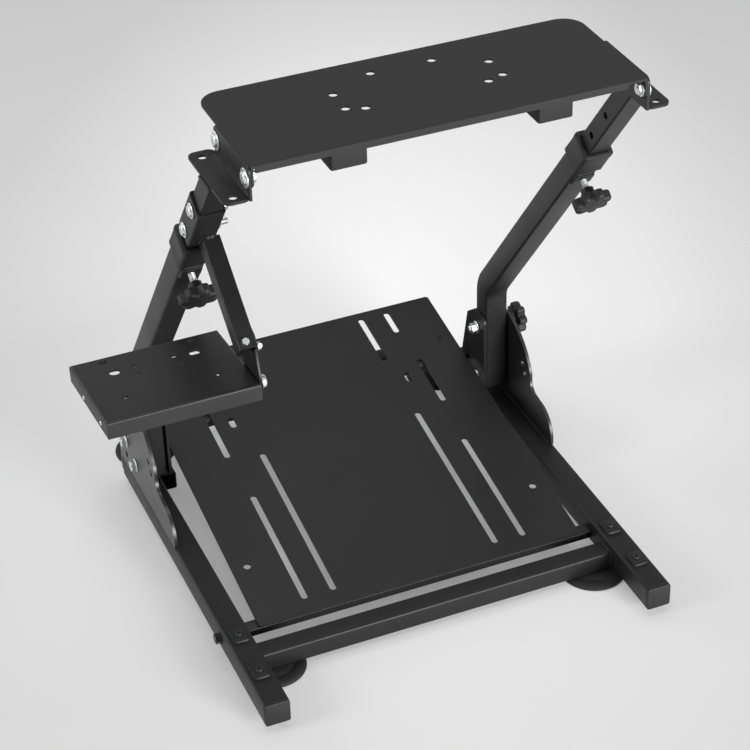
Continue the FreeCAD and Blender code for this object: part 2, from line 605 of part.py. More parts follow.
def rear_arm(name, side):
    """A short tube welded along the rail's inner face, which carries the rear beam and foot."""
    body = new_body(f"rear_arm_{name}", f"{side} * {ARM_MID}", "0", BEAM_LOW_MID)
    add(body, "XZ_Plane", "arm_start", ARM_END,
        lambda sketch: square_ring(sketch, "slim_side", "tube_wall", "tube_round"))


def gusset(name, side):
    """The outer fork plate, with an S-shaped front edge and the lock holes of the fold."""
    body = new_body(f"gusset_{name}")
    low, high = span(side, GUSSET_IN, GUSSET_OUT)
    toe = "gusset_toe"
    add(body, "YZ_Plane", low, high, lambda sketch: outline(sketch, [
        (toe, RAIL_TOP),
        ("rail_rear + cap_head", RAIL_TOP),
        ("rail_rear + cap_head", "gusset_low"),
        ("rail_rear + cap_head + tail_back", "gusset_low"),
        ("rail_rear + cap_head + tail_back", "gusset_low + tail_high"),
        ("pivot_y + crown_side", "gusset_top - crown_drop", "crown_round", 1),
        ("pivot_y + crown_back", "gusset_top"),
        ("pivot_y - crown_front", "gusset_top", "brow_round", 1),
        ("pivot_y - brow_front", "gusset_top - brow_drop", "chin_round", 1),
        ("pivot_y - chin_front", "gusset_top - chin_drop", "neck_round", -1),
        ("pivot_y - neck_front", "gusset_top - neck_drop"),
        (f"{toe} + toe_long", "gusset_top - toe_drop", "toe_round", 1),
        (toe, f"{RAIL_TOP} + toe_high"),
    ]))
    lock = [(f"pivot_y - lock_radius * sin({turn})", f"pivot_z + lock_radius * cos({turn})")
            for turn in ("0", "lock_second", "lock_third")]
    pedal = [("pedal_bolt_y", "pedal_bolt_z"), (PEDAL_LOW_Y, PEDAL_LOW_Z)]
    cut(body, "YZ_Plane", low, high, each(circle, lock + pedal, BOLT_HOLE))
    cut(body, "YZ_Plane", low, high, lambda sketch: circle(sketch, "pivot_y", "pivot_z", PIVOT_HOLE))


def ear(name, side):
    """The inner fork plate, which stands on the rear arm."""
    body = new_body(f"ear_{name}")
    low, high = span(side, EAR_IN, EAR_OUT)
    add(body, "YZ_Plane", low, high, lambda sketch: outline(sketch, [
        ("pivot_y - ear_front", "pivot_z - ear_drop"),
        ("pivot_y + ear_step", "pivot_z - ear_drop"),
        ("pivot_y + ear_leg", "pivot_z - ear_step_drop"),
        ("pivot_y + ear_leg", BEAM_TOP),
        (f"{PEDAL_LOW_Y} + ear_edge", BEAM_TOP),
        (f"{PEDAL_LOW_Y} + ear_edge", PEDAL_LOW_Z),
        ("pedal_bolt_y + ear_nose", "pedal_bolt_z + ear_nose_high"),
        ("pivot_y + ear_back", f"{LOCK_Z} + ear_shoulder"),
        ("pivot_y + ear_head_back", f"{LOCK_Z} + ear_head"),
        ("pivot_y - ear_front + ear_round", f"{LOCK_Z} + ear_head", "ear_round", 1),
        ("pivot_y - ear_front", f"{LOCK_Z} + ear_head - ear_round"),
    ]))
    places = [(LOCK_Y, LOCK_Z), ("pedal_bolt_y", "pedal_bolt_z"), (PEDAL_LOW_Y, PEDAL_LOW_Z)]
    cut(body, "YZ_Plane", low, high, each(circle, places, BOLT_HOLE))
    cut(body, "YZ_Plane", low, high, lambda sketch: circle(sketch, "pivot_y", "pivot_z", PIVOT_HOLE))


def pivot_bolts():
    """The fold pivots: a washer and hexagon outside and a low head inside, clear of the pedal plate."""
    body = new_body("pivot_bolts", "0", "pivot_y", "pivot_z")
    outer = f"({GUSSET_OUT} + washer_thick)"
    for name, side in SIDES:
        fastener(body, side, EAR_IN, outer, [("0", "0")], "pivot_bolt", [
            (circle, "washer_radius", GUSSET_OUT, outer),
            (hexagon, "bolt_across", outer, f"{outer} + bolt_head"),
            (circle, "washer_radius", f"{EAR_IN} - pivot_head", EAR_IN),
        ])


def lock_nuts():
    """The nut and threaded end of the fold lock on the ear's inner side."""
    body = new_body("lock_nuts", "0", LOCK_Y, LOCK_Z)
    nut = f"({EAR_IN} - washer_thick)"
    for name, side in SIDES:
        fastener(body, side, f"{nut} - nut_high - bolt_past", EAR_OUT, [("0", "0")], "lock_bolt", [
            (circle, "washer_radius", nut, EAR_IN),
            (hexagon, "nut_across", f"{nut} - nut_high", nut),
        ])


def fold_knob(name, side):
    """A star knob outside the gusset and, in a node of its own, its stud in the lock hole."""
    body = new_body(f"fold_knob_{name}", "0", LOCK_Y, LOCK_Z)
    head = f"({GUSSET_OUT} + fit_gap + fold_knob_hub)"
    low, high = span(side, f"{GUSSET_OUT} + fit_gap", head)
    add(body, "YZ_Plane", low, high, lambda sketch: circle(sketch, "0", "0", "fold_knob_radius * hub_share"))
    low, high = span(side, head, f"{head} + fold_knob_thick")
    star(body, "YZ_Plane", low, high, "fold_knob_radius", "fold_lobes", "fold_scallop")
    low, high = span(side, f"{GUSSET_OUT} + fit_gap", f"{head} + stud_deep")
    body.Tip = cut(body, "YZ_Plane", low, high, lambda sketch: circle(sketch, "0", "0", "lock_bolt"))
    stud = new_body(f"fold_stud_{name}", "0", LOCK_Y, LOCK_Z)
    low, high = span(side, GUSSET_IN, f"{head} + stud_deep")
    add(stud, "YZ_Plane", low, high, lambda sketch: circle(sketch, "0", "0", "lock_bolt"))


def upright_outer(name, side):
    """The bent square tube: a short plumb part, one bend and a long leaning part."""
    body = new_body(f"upright_outer_{name}", f"{side} * upright_out", "upright_rear", "upright_low")
    rise = "(bend_height - upright_low)"
    tangent = "(bend_radius * tan(lean / 2))"
    section = sketch_on(body, "XY_Plane", "0")
    square_ring(section, "tube_side", "tube_wall", "tube_round")
    path = sketch_on(body, "YZ_Plane", "0")
    route = [
        ("0", "0"),
        ("0", f"{rise} - {tangent}"),
        (f"-{tangent} * sin(lean)", f"{rise} + {tangent} * cos(lean)"),
        (f"-{OUTER_REACH} * sin(lean)", f"{rise} + {OUTER_REACH} * cos(lean)"),
    ]
    points = [FreeCAD.Vector(size(across), size(up), 0) for across, up in route]
    centre = points[1] + FreeCAD.Vector(-size("bend_radius"), 0, 0)
    lower = path.addGeometry(Part.LineSegment(points[0], points[1]))
    ring = Part.Circle(centre, FreeCAD.Vector(0, 0, 1), size("bend_radius"))
    bend = path.addGeometry(Part.ArcOfCircle(ring, 0.0, math.radians(size("lean"))))
    upper = path.addGeometry(Part.LineSegment(points[2], points[3]))
    path.addConstraint(Sketcher.Constraint("Coincident", lower, END, bend, START))
    path.addConstraint(Sketcher.Constraint("Coincident", bend, END, upper, START))
    fix_point(path, lower, START, *route[0])
    fix_point(path, lower, END, *route[1])
    fix_point(path, upper, START, *route[2])
    fix_point(path, upper, END, *route[3])
    fix(path, "Radius", "bend_radius", bend)
    pipe = body.newObject("PartDesign::AdditivePipe", body.Label + "_pipe")
    pipe.Profile = section
    pipe.Spine = (path, ["Edge1", "Edge2", "Edge3"])
    cut(body, "YZ_Plane", "-tube_side", "tube_side",
        lambda sketch: circle(sketch, "pivot_y - upright_rear", "pivot_z - upright_low", PIVOT_HOLE))
    cut(body, "YZ_Plane", "-tube_side", "tube_side",
        lambda sketch: circle(sketch, "pivot_y - upright_rear", f"{LOCK_Z} - upright_low", BOLT_HOLE))
    seat = sketch_on(body, "XZ_Plane", "0")
    seat.AttachmentOffset = FreeCAD.Placement(
        FreeCAD.Vector(0, size(rise), 0), FreeCAD.Rotation(FreeCAD.Vector(1, 0, 0), size("lean")))
    seat.setExpression("AttachmentOffset.Base.y", bound(rise))
    seat.setExpression("AttachmentOffset.Rotation.Angle", bound("lean"))
    circle(seat, "0", KNOB_SEAT, BOLT_HOLE)
    hole = body.newObject("PartDesign::Pocket", body.Label + "_screw_hole")
    hole.Profile = seat
    hole.Reversed = True
    hole.setExpression("Length", bound("tube_side"))


def knob_bosses():
    """The welded nut blocks that the height screws run in."""
    body = new_body("knob_bosses", "0", **LEAN)
    face = "(-tube_side / 2)"

    def blocks(sketch):
        for name, side in SIDES:
            mid = f"{side} * upright_out"
            rounded(sketch, f"{mid} - boss_wide / 2", f"{mid} + boss_wide / 2",
                    f"{KNOB_SEAT} - boss_long / 2", f"{KNOB_SEAT} + boss_long / 2", "boss_round")

    add(body, "XZ_Plane", f"{face} - boss_thick", face, blocks)
    places = [(f"{side} * upright_out", KNOB_SEAT) for name, side in SIDES]
    cut(body, "XZ_Plane", f"{face} - boss_thick", face, each(circle, places, BOLT_HOLE))


def collar(name, side):
    """The plastic collar over the outer tube's end, whose lip guides the inner tube."""
    body = new_body(f"collar_{name}", f"{side} * upright_out", **LEAN)
    half = f"({COLLAR_SIDE} / 2)"
    over = "(tube_side / 2)"
    guide = "(slim_side / 2 + fit_gap)"
    start = f"({OUTER_REACH} - collar_cover)"
    top = f"({OUTER_REACH} + collar_lip)"
    add(body, "XY_Plane", start, top,
        lambda sketch: rounded(sketch, f"-{half}", half, f"-{half}", half, "collar_round"))
    cut(body, "XY_Plane", start, OUTER_REACH,
        lambda sketch: rounded(sketch, f"-{over}", over, f"-{over}", over, "tube_round"))
    cut(body, "XY_Plane", OUTER_REACH, top,
        lambda sketch: rounded(sketch, f"-{guide}", guide, f"-{guide}", guide, "guide_round"))


def height_knob(name, side):
    """A lobed knob on the driver's side and, in a node of its own, its screw."""
    face = "(-tube_side / 2 - boss_thick)"
    hub = f"({face} - knob_stand)"
    head = f"({hub} - knob_hub)"
    place = (f"{side} * upright_out", f"upright_rear - {KNOB_SEAT} * sin(lean)",
             f"bend_height + {KNOB_SEAT} * cos(lean)", "lean")
    body = new_body(f"height_knob_{name}", *place)
    add(body, "XZ_Plane", head, hub, lambda sketch: circle(sketch, "0", "0", "knob_radius * hub_share"))
    star(body, "XZ_Plane", f"{head} - knob_thick", head, "knob_radius", "knob_lobes", "knob_scallop")
    body.Tip = cut(body, "XZ_Plane", f"{head} - stud_deep", hub,
                   lambda sketch: circle(sketch, "0", "0", "lock_bolt"))
    screw = new_body(f"height_screw_{name}", *place)
    add(screw, "XZ_Plane", f"{head} - stud_deep", "-slim_side / 2 - fit_gap",
        lambda sketch: circle(sketch, "0", "0", "lock_bolt"))


def upright_inner(name, side):
    """The inner tube, cut level under the head bracket's flange."""
    body = new_body(f"upright_inner_{name}", f"{side} * upright_out", **LEAN)
    add(body, "XY_Plane", f"{OUTER_REACH} - inner_hidden", f"{REACH} + slim_side",
        lambda sketch: square_ring(sketch, "slim_side", "tube_wall", "tube_round"))
    rise = "slim_side * tan(lean)"
    cut(body, "YZ_Plane", "-slim_side", "slim_side", lambda sketch: outline(sketch, [
        ("-slim_side", f"{REACH} + {rise}"),
        ("slim_side", f"{REACH} - {rise}"),
        ("slim_side", f"{REACH} + 2 * slim_side"),
        ("-slim_side", f"{REACH} + 2 * slim_side"),
    ]))
    cut(body, "YZ_Plane", "-slim_side", "slim_side", each(circle, SLEEVE_BOLTS, BOLT_HOLE))


def head_bracket(name, side):
    """An L-bracket: a level flange welded on the upright and a plate against the wheel plate."""
    body = new_body(f"head_bracket_{name}", "0", HEAD_Y, "plate_height")
    plate_side = "(plate_width / 2)"
    rear = "(bracket_near - bracket_short)"
    low, high = span(side, plate_side, f"{plate_side} + bracket_thick")
    add(body, "YZ_Plane", low, high, lambda sketch: outline(sketch, [
        ("-bracket_near", "-bracket_drop - bracket_thick"),
        (rear, "-bracket_drop - bracket_thick"),
        (rear, "-bracket_rear_round", "bracket_rear_round", 1),
        (f"{rear} - bracket_rear_round", "0"),
        ("-bracket_near + bracket_front_round", "0", "bracket_front_round", 1),
        ("-bracket_near", "-bracket_front_round"),
    ]))
    left, right = span(side, plate_side, "bracket_out")
    add(body, "XY_Plane", "-bracket_drop - bracket_thick", "-bracket_drop", lambda sketch: rounded(
        sketch, left, right, "-bracket_near", "bracket_far", "bracket_corner"))
    across = f"{side} * (bracket_out - bracket_hole_in)"
    places = [(across, "-bracket_hole_near"), (across, "bracket_hole_far")]
    cut(body, "XY_Plane", "-bracket_drop - bracket_thick", "-bracket_drop",
        each(circle, places, "bracket_hole"))
    bolts = [("-head_bolt_near", "-head_bolt_drop"), ("head_bolt_far", "-head_bolt_drop")]
    cut(body, "YZ_Plane", low, high, each(circle, bolts, BOLT_HOLE))


def head_bolts():
    """The two bolts that hold the wheel plate's flange to the bracket."""
    body = new_body("head_bolts", "0", HEAD_Y, "plate_height")
    outer = "(plate_width / 2 + bracket_thick)"
    inner = "(plate_width / 2 - plate_thick)"
    head = f"({outer} + head_small_thick)"
    nut = f"({inner} - washer_thick)"
    places = [("-head_bolt_near", "-head_bolt_drop"), ("head_bolt_far", "-head_bolt_drop")]
    for name, side in SIDES:
        fastener(body, side, f"{nut} - nut_high - bolt_past", head, places, "lock_bolt", [
            (circle, "head_small_washer", outer, head),
            (circle, "button_radius", head, f"{head} + button_high"),
            (circle, "head_washer", nut, inner),
            (hexagon, "nut_across", f"{nut} - nut_high", nut),
        ])


def wheel_plate():
    """The folded plate for the wheel: side flanges, a short front lip and rounded far corners."""
    body = new_body("wheel_plate", "0", PLATE_FRONT, "plate_height")
    half = "(plate_width / 2)"
    bolts = [(place, "-head_bolt_drop") for place in ("plate_ahead - head_bolt_near", "plate_ahead + head_bolt_far")]
    rear = "(plate_ahead + head_bolt_far + flange_past)"
    add(body, "XY_Plane", "-plate_thick", "0", lambda sketch: outline(sketch, [
        (f"-{half}", "0"),
        (half, "0"),
        (half, "plate_depth - plate_round", "plate_round", 1),
        (f"{half} - plate_round", "plate_depth"),
        (f"-{half} + plate_round", "plate_depth", "plate_round", 1),
        (f"-{half}", "plate_depth - plate_round"),
    ]))
    for name, side in SIDES:
        low, high = span(side, f"{half} - plate_thick", half)
        add(body, "YZ_Plane", low, high, lambda sketch: outline(sketch, [
            ("0", "-plate_thick"),
            ("0", "-plate_flange + flange_corner"),
            ("flange_corner", "-plate_flange"),
            (f"{rear} - flange_corner", "-plate_flange"),
            (rear, "-plate_flange + flange_corner"),
            (rear, "-plate_thick"),
        ]))
        cut(body, "YZ_Plane", low, high, each(circle, bolts, BOLT_HOLE))
    add(body, "XZ_Plane", "0", "plate_thick", lambda sketch: rectangle(
        sketch, "lip_left", "lip_right", "-lip_high", "-plate_thick"))
    holes = []
    for sign in ("-", ""):
        holes.append((f"{sign}hole_wide", "hole_wide_far"))
        holes.append((f"{sign}hole_wide", "hole_wide_near"))
        holes.append((f"{sign}hole_mid", "hole_mid_back"))
        holes.append((f"{sign}hole_slim", "hole_slim_back"))
    cut(body, "XY_Plane", "-plate_thick", "0", each(circle, holes, "plate_hole"))


def stop_blocks():
    """Two rubber blocks under the wheel plate, behind its lip."""
    body = new_body("stop_blocks", "0", PLATE_FRONT, "plate_height")

    def shapes(sketch):
        for left, right in (("-block_in - block_wide", "-block_in"), ("block_in", "block_in + block_wide")):
            rounded(sketch, left, right, "plate_thick", "plate_thick + block_deep", "block_round")

    add(body, "XY_Plane", "-plate_thick - block_high", "-plate_thick", shapes)


def pedal_frame(label):
    """A body of the sloping pedal frame, whose origin is its front pivot."""
    return new_body(label, "0", PEDAL_Y, PEDAL_Z, "pedal_tilt")


def pedal_plate():
    body = pedal_frame("pedal_plate")
    low = "(cross_high / 2)"
    high = "(cross_high / 2 + plate_thick)"
    front = "(-cross_deep / 2)"
    half = "(pedal_width / 2)"
    add(body, "XY_Plane", low, high, lambda sketch: rounded(
        sketch, f"-{half}", half, front, f"{front} + pedal_length", "pedal_corner"))
    corners = [(f"{sign}pedal_hole_out", f"{front} + {along}")
               for sign in ("-", "") for along in ("pedal_hole_near", "pedal_hole_far")]
    cut(body, "XY_Plane", low, high, each(circle, corners, "pedal_hole"))

    rows = (("slot_in", "slot_in_start", "slot_in_end"), ("slot_in", "slot_far_start", "slot_far_end"),
            ("slot_out", "slot_out_start", "slot_out_end"), ("slot_out", "slot_stub_start", "slot_far_end"),
            ("slot_side", "slot_side_start", "slot_side_end"),
            ("slot_short", "slot_short_start", "slot_short_end"))

    def slots(sketch):
        for sign in ("-", ""):
            for across, start, end in rows:
                slot(sketch, f"{sign}{across}", f"{front} + {start}", f"{front} + {end}", "slot_half")

    cut(body, "XY_Plane", low, high, slots)


def cross_tube(label, along, end):
    """A flat tube under the pedal plate, with solid bored ends."""
    body = pedal_frame(label)
    low, high = f"{along} - cross_deep / 2", f"{along} + cross_deep / 2"
    add(body, "YZ_Plane", f"-({end})", end, lambda sketch: rounded(
        sketch, low, high, "-cross_high / 2", "cross_high / 2", "cross_round"))
    inner = f"({end} - cross_plug)"
    cut(body, "YZ_Plane", f"-{inner}", inner, lambda sketch: rectangle(
        sketch, f"{low} + tube_wall", f"{high} - tube_wall",
        "-cross_high / 2 + tube_wall", "cross_high / 2 - tube_wall"))
    cut(body, "YZ_Plane", f"-({end})", end, lambda sketch: circle(sketch, along, "0", BOLT_HOLE))


def pedal_pivots():
    """The bolts through the rails that the pedal plate tilts on."""
    body = new_body("pedal_pivots", "0", PEDAL_Y, PEDAL_Z)
    outer = f"({RAIL_OUT} + pivot_washer)"
    for name, side in SIDES:
        fastener(body, side, f"{RAIL_IN} - cross_plug", outer, [("0", "0")], "lock_bolt", [
            (circle, "head_small_washer", RAIL_OUT, outer),
            (hexagon, "pivot_cap_across", outer, f"{outer} + pivot_cap"),
        ])


def pedal_bolts():
    """The bolt that holds the pedal plate's rear, with its spacer between gusset and ear."""
    body = new_body("pedal_bolts", "0", "pedal_bolt_y", "pedal_bolt_z")
    outer = f"({GUSSET_OUT} + washer_thick)"
    for name, side in SIDES:
        fastener(body, side, EAR_IN, outer, [("0", "0")], "lock_bolt", [
            (circle, "pedal_spacer", EAR_OUT, GUSSET_IN),
            (circle, "head_small_washer", GUSSET_OUT, outer),
            (hexagon, "pedal_head_across", outer, f"{outer} + bolt_head"),
        ])


def shifter_mount():
    """Sleeve, arm, tab and pan of the shifter mount on the left upright."""
    sleeve = new_body("shifter_sleeve", "-upright_out", **LEAN)
    half = f"({SLEEVE_SIDE} / 2)"
    inside = "(slim_side / 2 + fit_gap)"
    top = f"({SLEEVE_START} + sleeve_long)"
    add(sleeve, "XY_Plane", SLEEVE_START, top,
        lambda sketch: rounded(sketch, f"-{half}", half, f"-{half}", half, "sleeve_round"))
    cut(sleeve, "XY_Plane", SLEEVE_START, top,
        lambda sketch: rounded(sketch, f"-{inside}", inside, f"-{inside}", inside, "guide_round"))
    cut(sleeve, "YZ_Plane", f"-{half}", half, each(circle, SLEEVE_BOLTS, BOLT_HOLE))

    bolts = new_body("sleeve_bolts", "-upright_out", **LEAN)
    outer = f"({half} + washer_thick)"
    fastener(bolts, -1, f"-{half} - sleeve_bolt_past", outer, SLEEVE_BOLTS, "lock_bolt", [
        (circle, "washer_radius", half, outer),
        (circle, "button_radius", outer, f"{outer} + sleeve_head"),
        (hexagon, "nut_across", f"-{half} - nut_high", f"-{half}"),
    ])

    arm = new_body("shifter_arm", "shifter_inner - arm_side / 2", **LEAN)
    side_half = "(arm_side / 2)"
    lower, upper = f"{ARM_SEAT} - {side_half}", f"{ARM_SEAT} + {side_half}"
    hollow = f"({side_half} - tube_wall)"
    add(arm, "XZ_Plane", f"-{half} - arm_long", f"-{half}", lambda sketch: rounded(
        sketch, f"-{side_half}", side_half, lower, upper, "arm_round"))
    cut(arm, "XZ_Plane", f"-{half} - arm_long", f"-{half}", lambda sketch: rectangle(
        sketch, f"-{hollow}", hollow, f"{ARM_SEAT} - {hollow}", f"{ARM_SEAT} + {hollow}"))

    tab = new_body("shifter_tab", "shifter_inner", SHIFTER_Y, SHIFTER_Z)
    add(tab, "YZ_Plane", "0", "tab_thick", lambda sketch: outline(sketch, [
        ("tab_front", "-tab_low"),
        ("tab_low_back", "-tab_low"),
        ("tab_back", "tab_back_high"),
        ("tab_top_back", "tab_top_high"),
        ("tab_top_front", "tab_top_low", "tab_round", 1),
        ("tab_brow", "tab_brow_high", "tab_hollow", -1),
        ("tab_front", "tab_chin_high"),
    ]))


def shifter_plate():
    """The pan for the shifter, with four flanges turned down and a plain pattern of holes."""
    body = new_body("shifter_plate", "shifter_inner - shifter_width / 2", SHIFTER_Y, SHIFTER_Z, "-shifter_fall")
    half = "(shifter_width / 2)"
    add(body, "XY_Plane", "-plate_thick", "0", lambda sketch: rectangle(
        sketch, f"-{half}", half, "0", "shifter_depth"))

    def ring(sketch):
        rectangle(sketch, f"-{half}", half, "0", "shifter_depth")
        rectangle(sketch, f"-{half} + plate_thick", f"{half} - plate_thick",
                  "plate_thick", "shifter_depth - plate_thick")

    add(body, "XY_Plane", "-shifter_flange", "-plate_thick", ring)
    for group in ("big_hole", "mid_hole"):
        pair = [(f"{sign}{group}_out", f"{group}_back") for sign in ("-", "")]
        cut(body, "XY_Plane", "-plate_thick", "0", each(circle, pair, group))
    small = [(f"{sign}{row}_hole_out", f"{row}_hole_back")
             for sign in ("-", "") for row in ("upper", "lower", "near")]
    cut(body, "XY_Plane", "-plate_thick", "0", each(circle, small, "small_hole"))
    ease_folds(body, "fold_round")


for name, side in SIDES:
    rail(name, side)
    foot(name, side, "front", "beam_front")
    foot(name, side, "rear", "beam_rear")
    rear_arm(name, side)
    gusset(name, side)
    ear(name, side)
    fold_knob(name, side)
    upright_outer(name, side)
    collar(name, side)
    height_knob(name, side)
    upright_inner(name, side)
    head_bracket(name, side)
end_caps("front", "rail_front", -1)
end_caps("rear", "rail_rear", 1)
rail_pads()
pivot_bolts()
lock_nuts()
head_bolts()
pedal_pivots()
pedal_bolts()
knob_bosses()
beam("front_beam", "beam_front", BEAM_LOW_MID)
beam("rear_beam", "beam_rear", f"({BEAM_TOP} + slim_side / 2)")
wheel_plate()
stop_blocks()
pedal_plate()
cross_tube("pedal_tube_front", "0", f"({RAIL_IN} - fit_gap)")
cross_tube("pedal_tube_rear", "pedal_reach", f"({EAR_IN} - fit_gap)")
shifter_mount()
shifter_plate()

doc.recompute()

bad = []
for item in doc.Objects:
    if "Invalid" in item.State or "Error" in item.State:
        bad.append(f"{item.Name}: {item.State}")
for body in nodes:
    if body.Shape.isNull() or not body.Shape.isValid():
        bad.append(f"{body.Label}: shape not valid")
if bad:
    raise RuntimeError("; ".join(bad))

os.makedirs("parts", exist_ok=True)
for body in nodes:
    body.Shape.exportStep(os.path.join("parts", body.Label + ".step"))
print(len(nodes), "nodes")
for body in nodes:
    box = body.Shape.BoundBox
    print(f"{body.Label:24s} solids {len(body.Shape.Solids)} volume {body.Shape.Volume:10.0f}  "
          f"x {box.XMin:7.1f} {box.XMax:7.1f}  y {box.YMin:7.1f} {box.YMax:7.1f}  "
          f"z {box.ZMin:7.1f} {box.ZMax:7.1f}")
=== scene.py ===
import math

import bmesh
import bpy
import numpy as np
from mathutils import Matrix, Vector


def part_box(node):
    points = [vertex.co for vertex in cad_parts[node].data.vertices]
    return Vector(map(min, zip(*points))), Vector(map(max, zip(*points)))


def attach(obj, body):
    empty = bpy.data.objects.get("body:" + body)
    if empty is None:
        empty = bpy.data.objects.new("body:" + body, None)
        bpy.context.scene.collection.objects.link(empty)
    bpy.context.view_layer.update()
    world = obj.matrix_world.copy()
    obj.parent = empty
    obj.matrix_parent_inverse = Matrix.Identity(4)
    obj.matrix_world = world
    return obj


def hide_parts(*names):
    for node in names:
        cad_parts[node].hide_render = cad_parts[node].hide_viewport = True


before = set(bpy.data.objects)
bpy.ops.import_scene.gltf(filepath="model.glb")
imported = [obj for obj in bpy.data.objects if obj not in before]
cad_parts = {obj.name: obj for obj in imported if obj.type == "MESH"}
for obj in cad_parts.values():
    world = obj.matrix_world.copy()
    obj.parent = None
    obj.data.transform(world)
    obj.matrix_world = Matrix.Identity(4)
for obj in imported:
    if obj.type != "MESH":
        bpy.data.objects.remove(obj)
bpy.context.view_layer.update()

# Driving sizes, in metres: they repeat the frame's own
TUBE_SIDE = 0.030
SLIM_SIDE = 0.025
TUBE_WALL = 0.0015
TUBE_ROUND = 0.0028
PLATE_THICK = 0.0025
LEAN = math.radians(38.1)
BEND_Y = 0.1691
BEND_Z = 0.2063
BEND_RADIUS = 0.040
OUTER_REACH = 0.417
COLLAR_START = 0.380
COLLAR_LIP = 0.004
KNOB_SEAT = 0.360
ARM_TOP = 0.451
SIDES = (("left", -1.0), ("right", 1.0))
ACROSS = np.array([1.0, 0.0, 0.0])
AWAY = np.array([0.0, 1.0, 0.0])
UP = np.array([0.0, 0.0, 1.0])
LEAN_UP = np.array([0.0, -math.sin(LEAN), math.cos(LEAN)])
LEAN_BACK = np.array([0.0, math.cos(LEAN), math.sin(LEAN)])

# Sizes that several pieces share, in metres
TUBE_EASE = 0.0003
SHEET_EASE = 0.0007
SCREW_RADIUS = 0.004
SCREW_PITCH = 0.00125
NUT_FLATS = 0.0121
NUT_HIGH = 0.007
WASHER_RADIUS = 0.0085
WASHER_THICK = 0.0016
BOLT_HEAD_HIGH = 0.0055
SEAM_RADIUS = 0.0018
KNOB_LOBES = 7

# The share of the floor that is painted glow in its own tone, seen by the camera and in reflections
FLOOR_GLOW = 0.30
rng = np.random.default_rng(7)


# Materials

def linear(text):
    """A linear colour from an sRGB hex value."""
    parts = [int(text[index:index + 2], 16) / 255 for index in (1, 3, 5)]
    return [part / 12.92 if part <= 0.04045 else ((part + 0.055) / 1.055) ** 2.4 for part in parts] + [1.0]


def add_node(tree, kind, values=None, links=None, **settings):
    """Adds a node with its settings, its sockets' values and its links."""
    made = tree.nodes.new(kind)
    for name, value in settings.items():
        setattr(made, name, value)
    for name, value in (values or {}).items():
        made.inputs[name].default_value = value
    for name, source in (links or {}).items():
        tree.links.new(source, made.inputs[name])
    return made


def new_material(name):
    """An empty material with its tree, its shader and its object coordinates."""
    material = bpy.data.materials.new(name)
    material.use_nodes = True
    tree = material.node_tree
    shader = next(item for item in tree.nodes if item.type == "BSDF_PRINCIPLED")
    place = add_node(tree, "ShaderNodeTexCoord").outputs["Object"]
    return material, tree, shader, place


def powder_coat(name, gloss_low, gloss_high, index):
    """Mild steel with a baked black polyester powder coat.

    The powder melts to a satin film with a fine orange-peel skin about 1.5 mm across, so highlights
    spread softly and break up a little; the film is a touch thinner and greyer in places. The finish is
    told by the range of its roughness, from gloss_low to gloss_high, and by its index of refraction.
    """
    material, tree, shader, place = new_material(name)
    peel = add_node(tree, "ShaderNodeTexNoise", {"Scale": 900.0, "Detail": 2.0, "Roughness": 0.5},
                    {"Vector": place})
    drift = add_node(tree, "ShaderNodeTexNoise", {"Scale": 14.0, "Detail": 3.0}, {"Vector": place})
    tone = add_node(tree, "ShaderNodeValToRGB", links={"Fac": drift.outputs["Fac"]})
    tone.color_ramp.elements[0].position = 0.3
    tone.color_ramp.elements[0].color = linear("#131314")
    tone.color_ramp.elements[1].position = 0.75
    tone.color_ramp.elements[1].color = linear("#171718")
    gloss = add_node(tree, "ShaderNodeMapRange",
                     {"From Min": 0.3, "From Max": 0.7, "To Min": gloss_low, "To Max": gloss_high},
                     {"Value": drift.outputs["Fac"]})
    relief = add_node(tree, "ShaderNodeBump", {"Strength": 0.08, "Distance": 0.0003},
                    {"Height": peel.outputs["Fac"]})
    tree.links.new(tone.outputs["Color"], shader.inputs["Base Color"])
    tree.links.new(gloss.outputs["Result"], shader.inputs["Roughness"])
    tree.links.new(relief.outputs["Normal"], shader.inputs["Normal"])
    shader.inputs["IOR"].default_value = index
    return material


def moulded_plastic():
    """Injection-moulded black nylon for knobs, collars and end caps.

    The mould is spark-eroded, which leaves a fine matte grain near 0.4 mm and no mirror glint.
    """
    material, tree, shader, place = new_material("black_moulded_nylon")
    grain = add_node(tree, "ShaderNodeTexNoise", {"Scale": 1600.0, "Detail": 2.0}, {"Vector": place})
    flow = add_node(tree, "ShaderNodeTexNoise", {"Scale": 40.0, "Detail": 2.0}, {"Vector": place})
    tone = add_node(tree, "ShaderNodeValToRGB", links={"Fac": flow.outputs["Fac"]})
    tone.color_ramp.elements[0].color = linear("#0e0e0f")
    tone.color_ramp.elements[1].color = linear("#131314")
    relief = add_node(tree, "ShaderNodeBump", {"Strength": 0.15, "Distance": 0.0003},
                    {"Height": grain.outputs["Fac"]})
    tree.links.new(tone.outputs["Color"], shader.inputs["Base Color"])
    tree.links.new(relief.outputs["Normal"], shader.inputs["Normal"])
    shader.inputs["Roughness"].default_value = 0.58
    shader.inputs["IOR"].default_value = 1.53
    return material


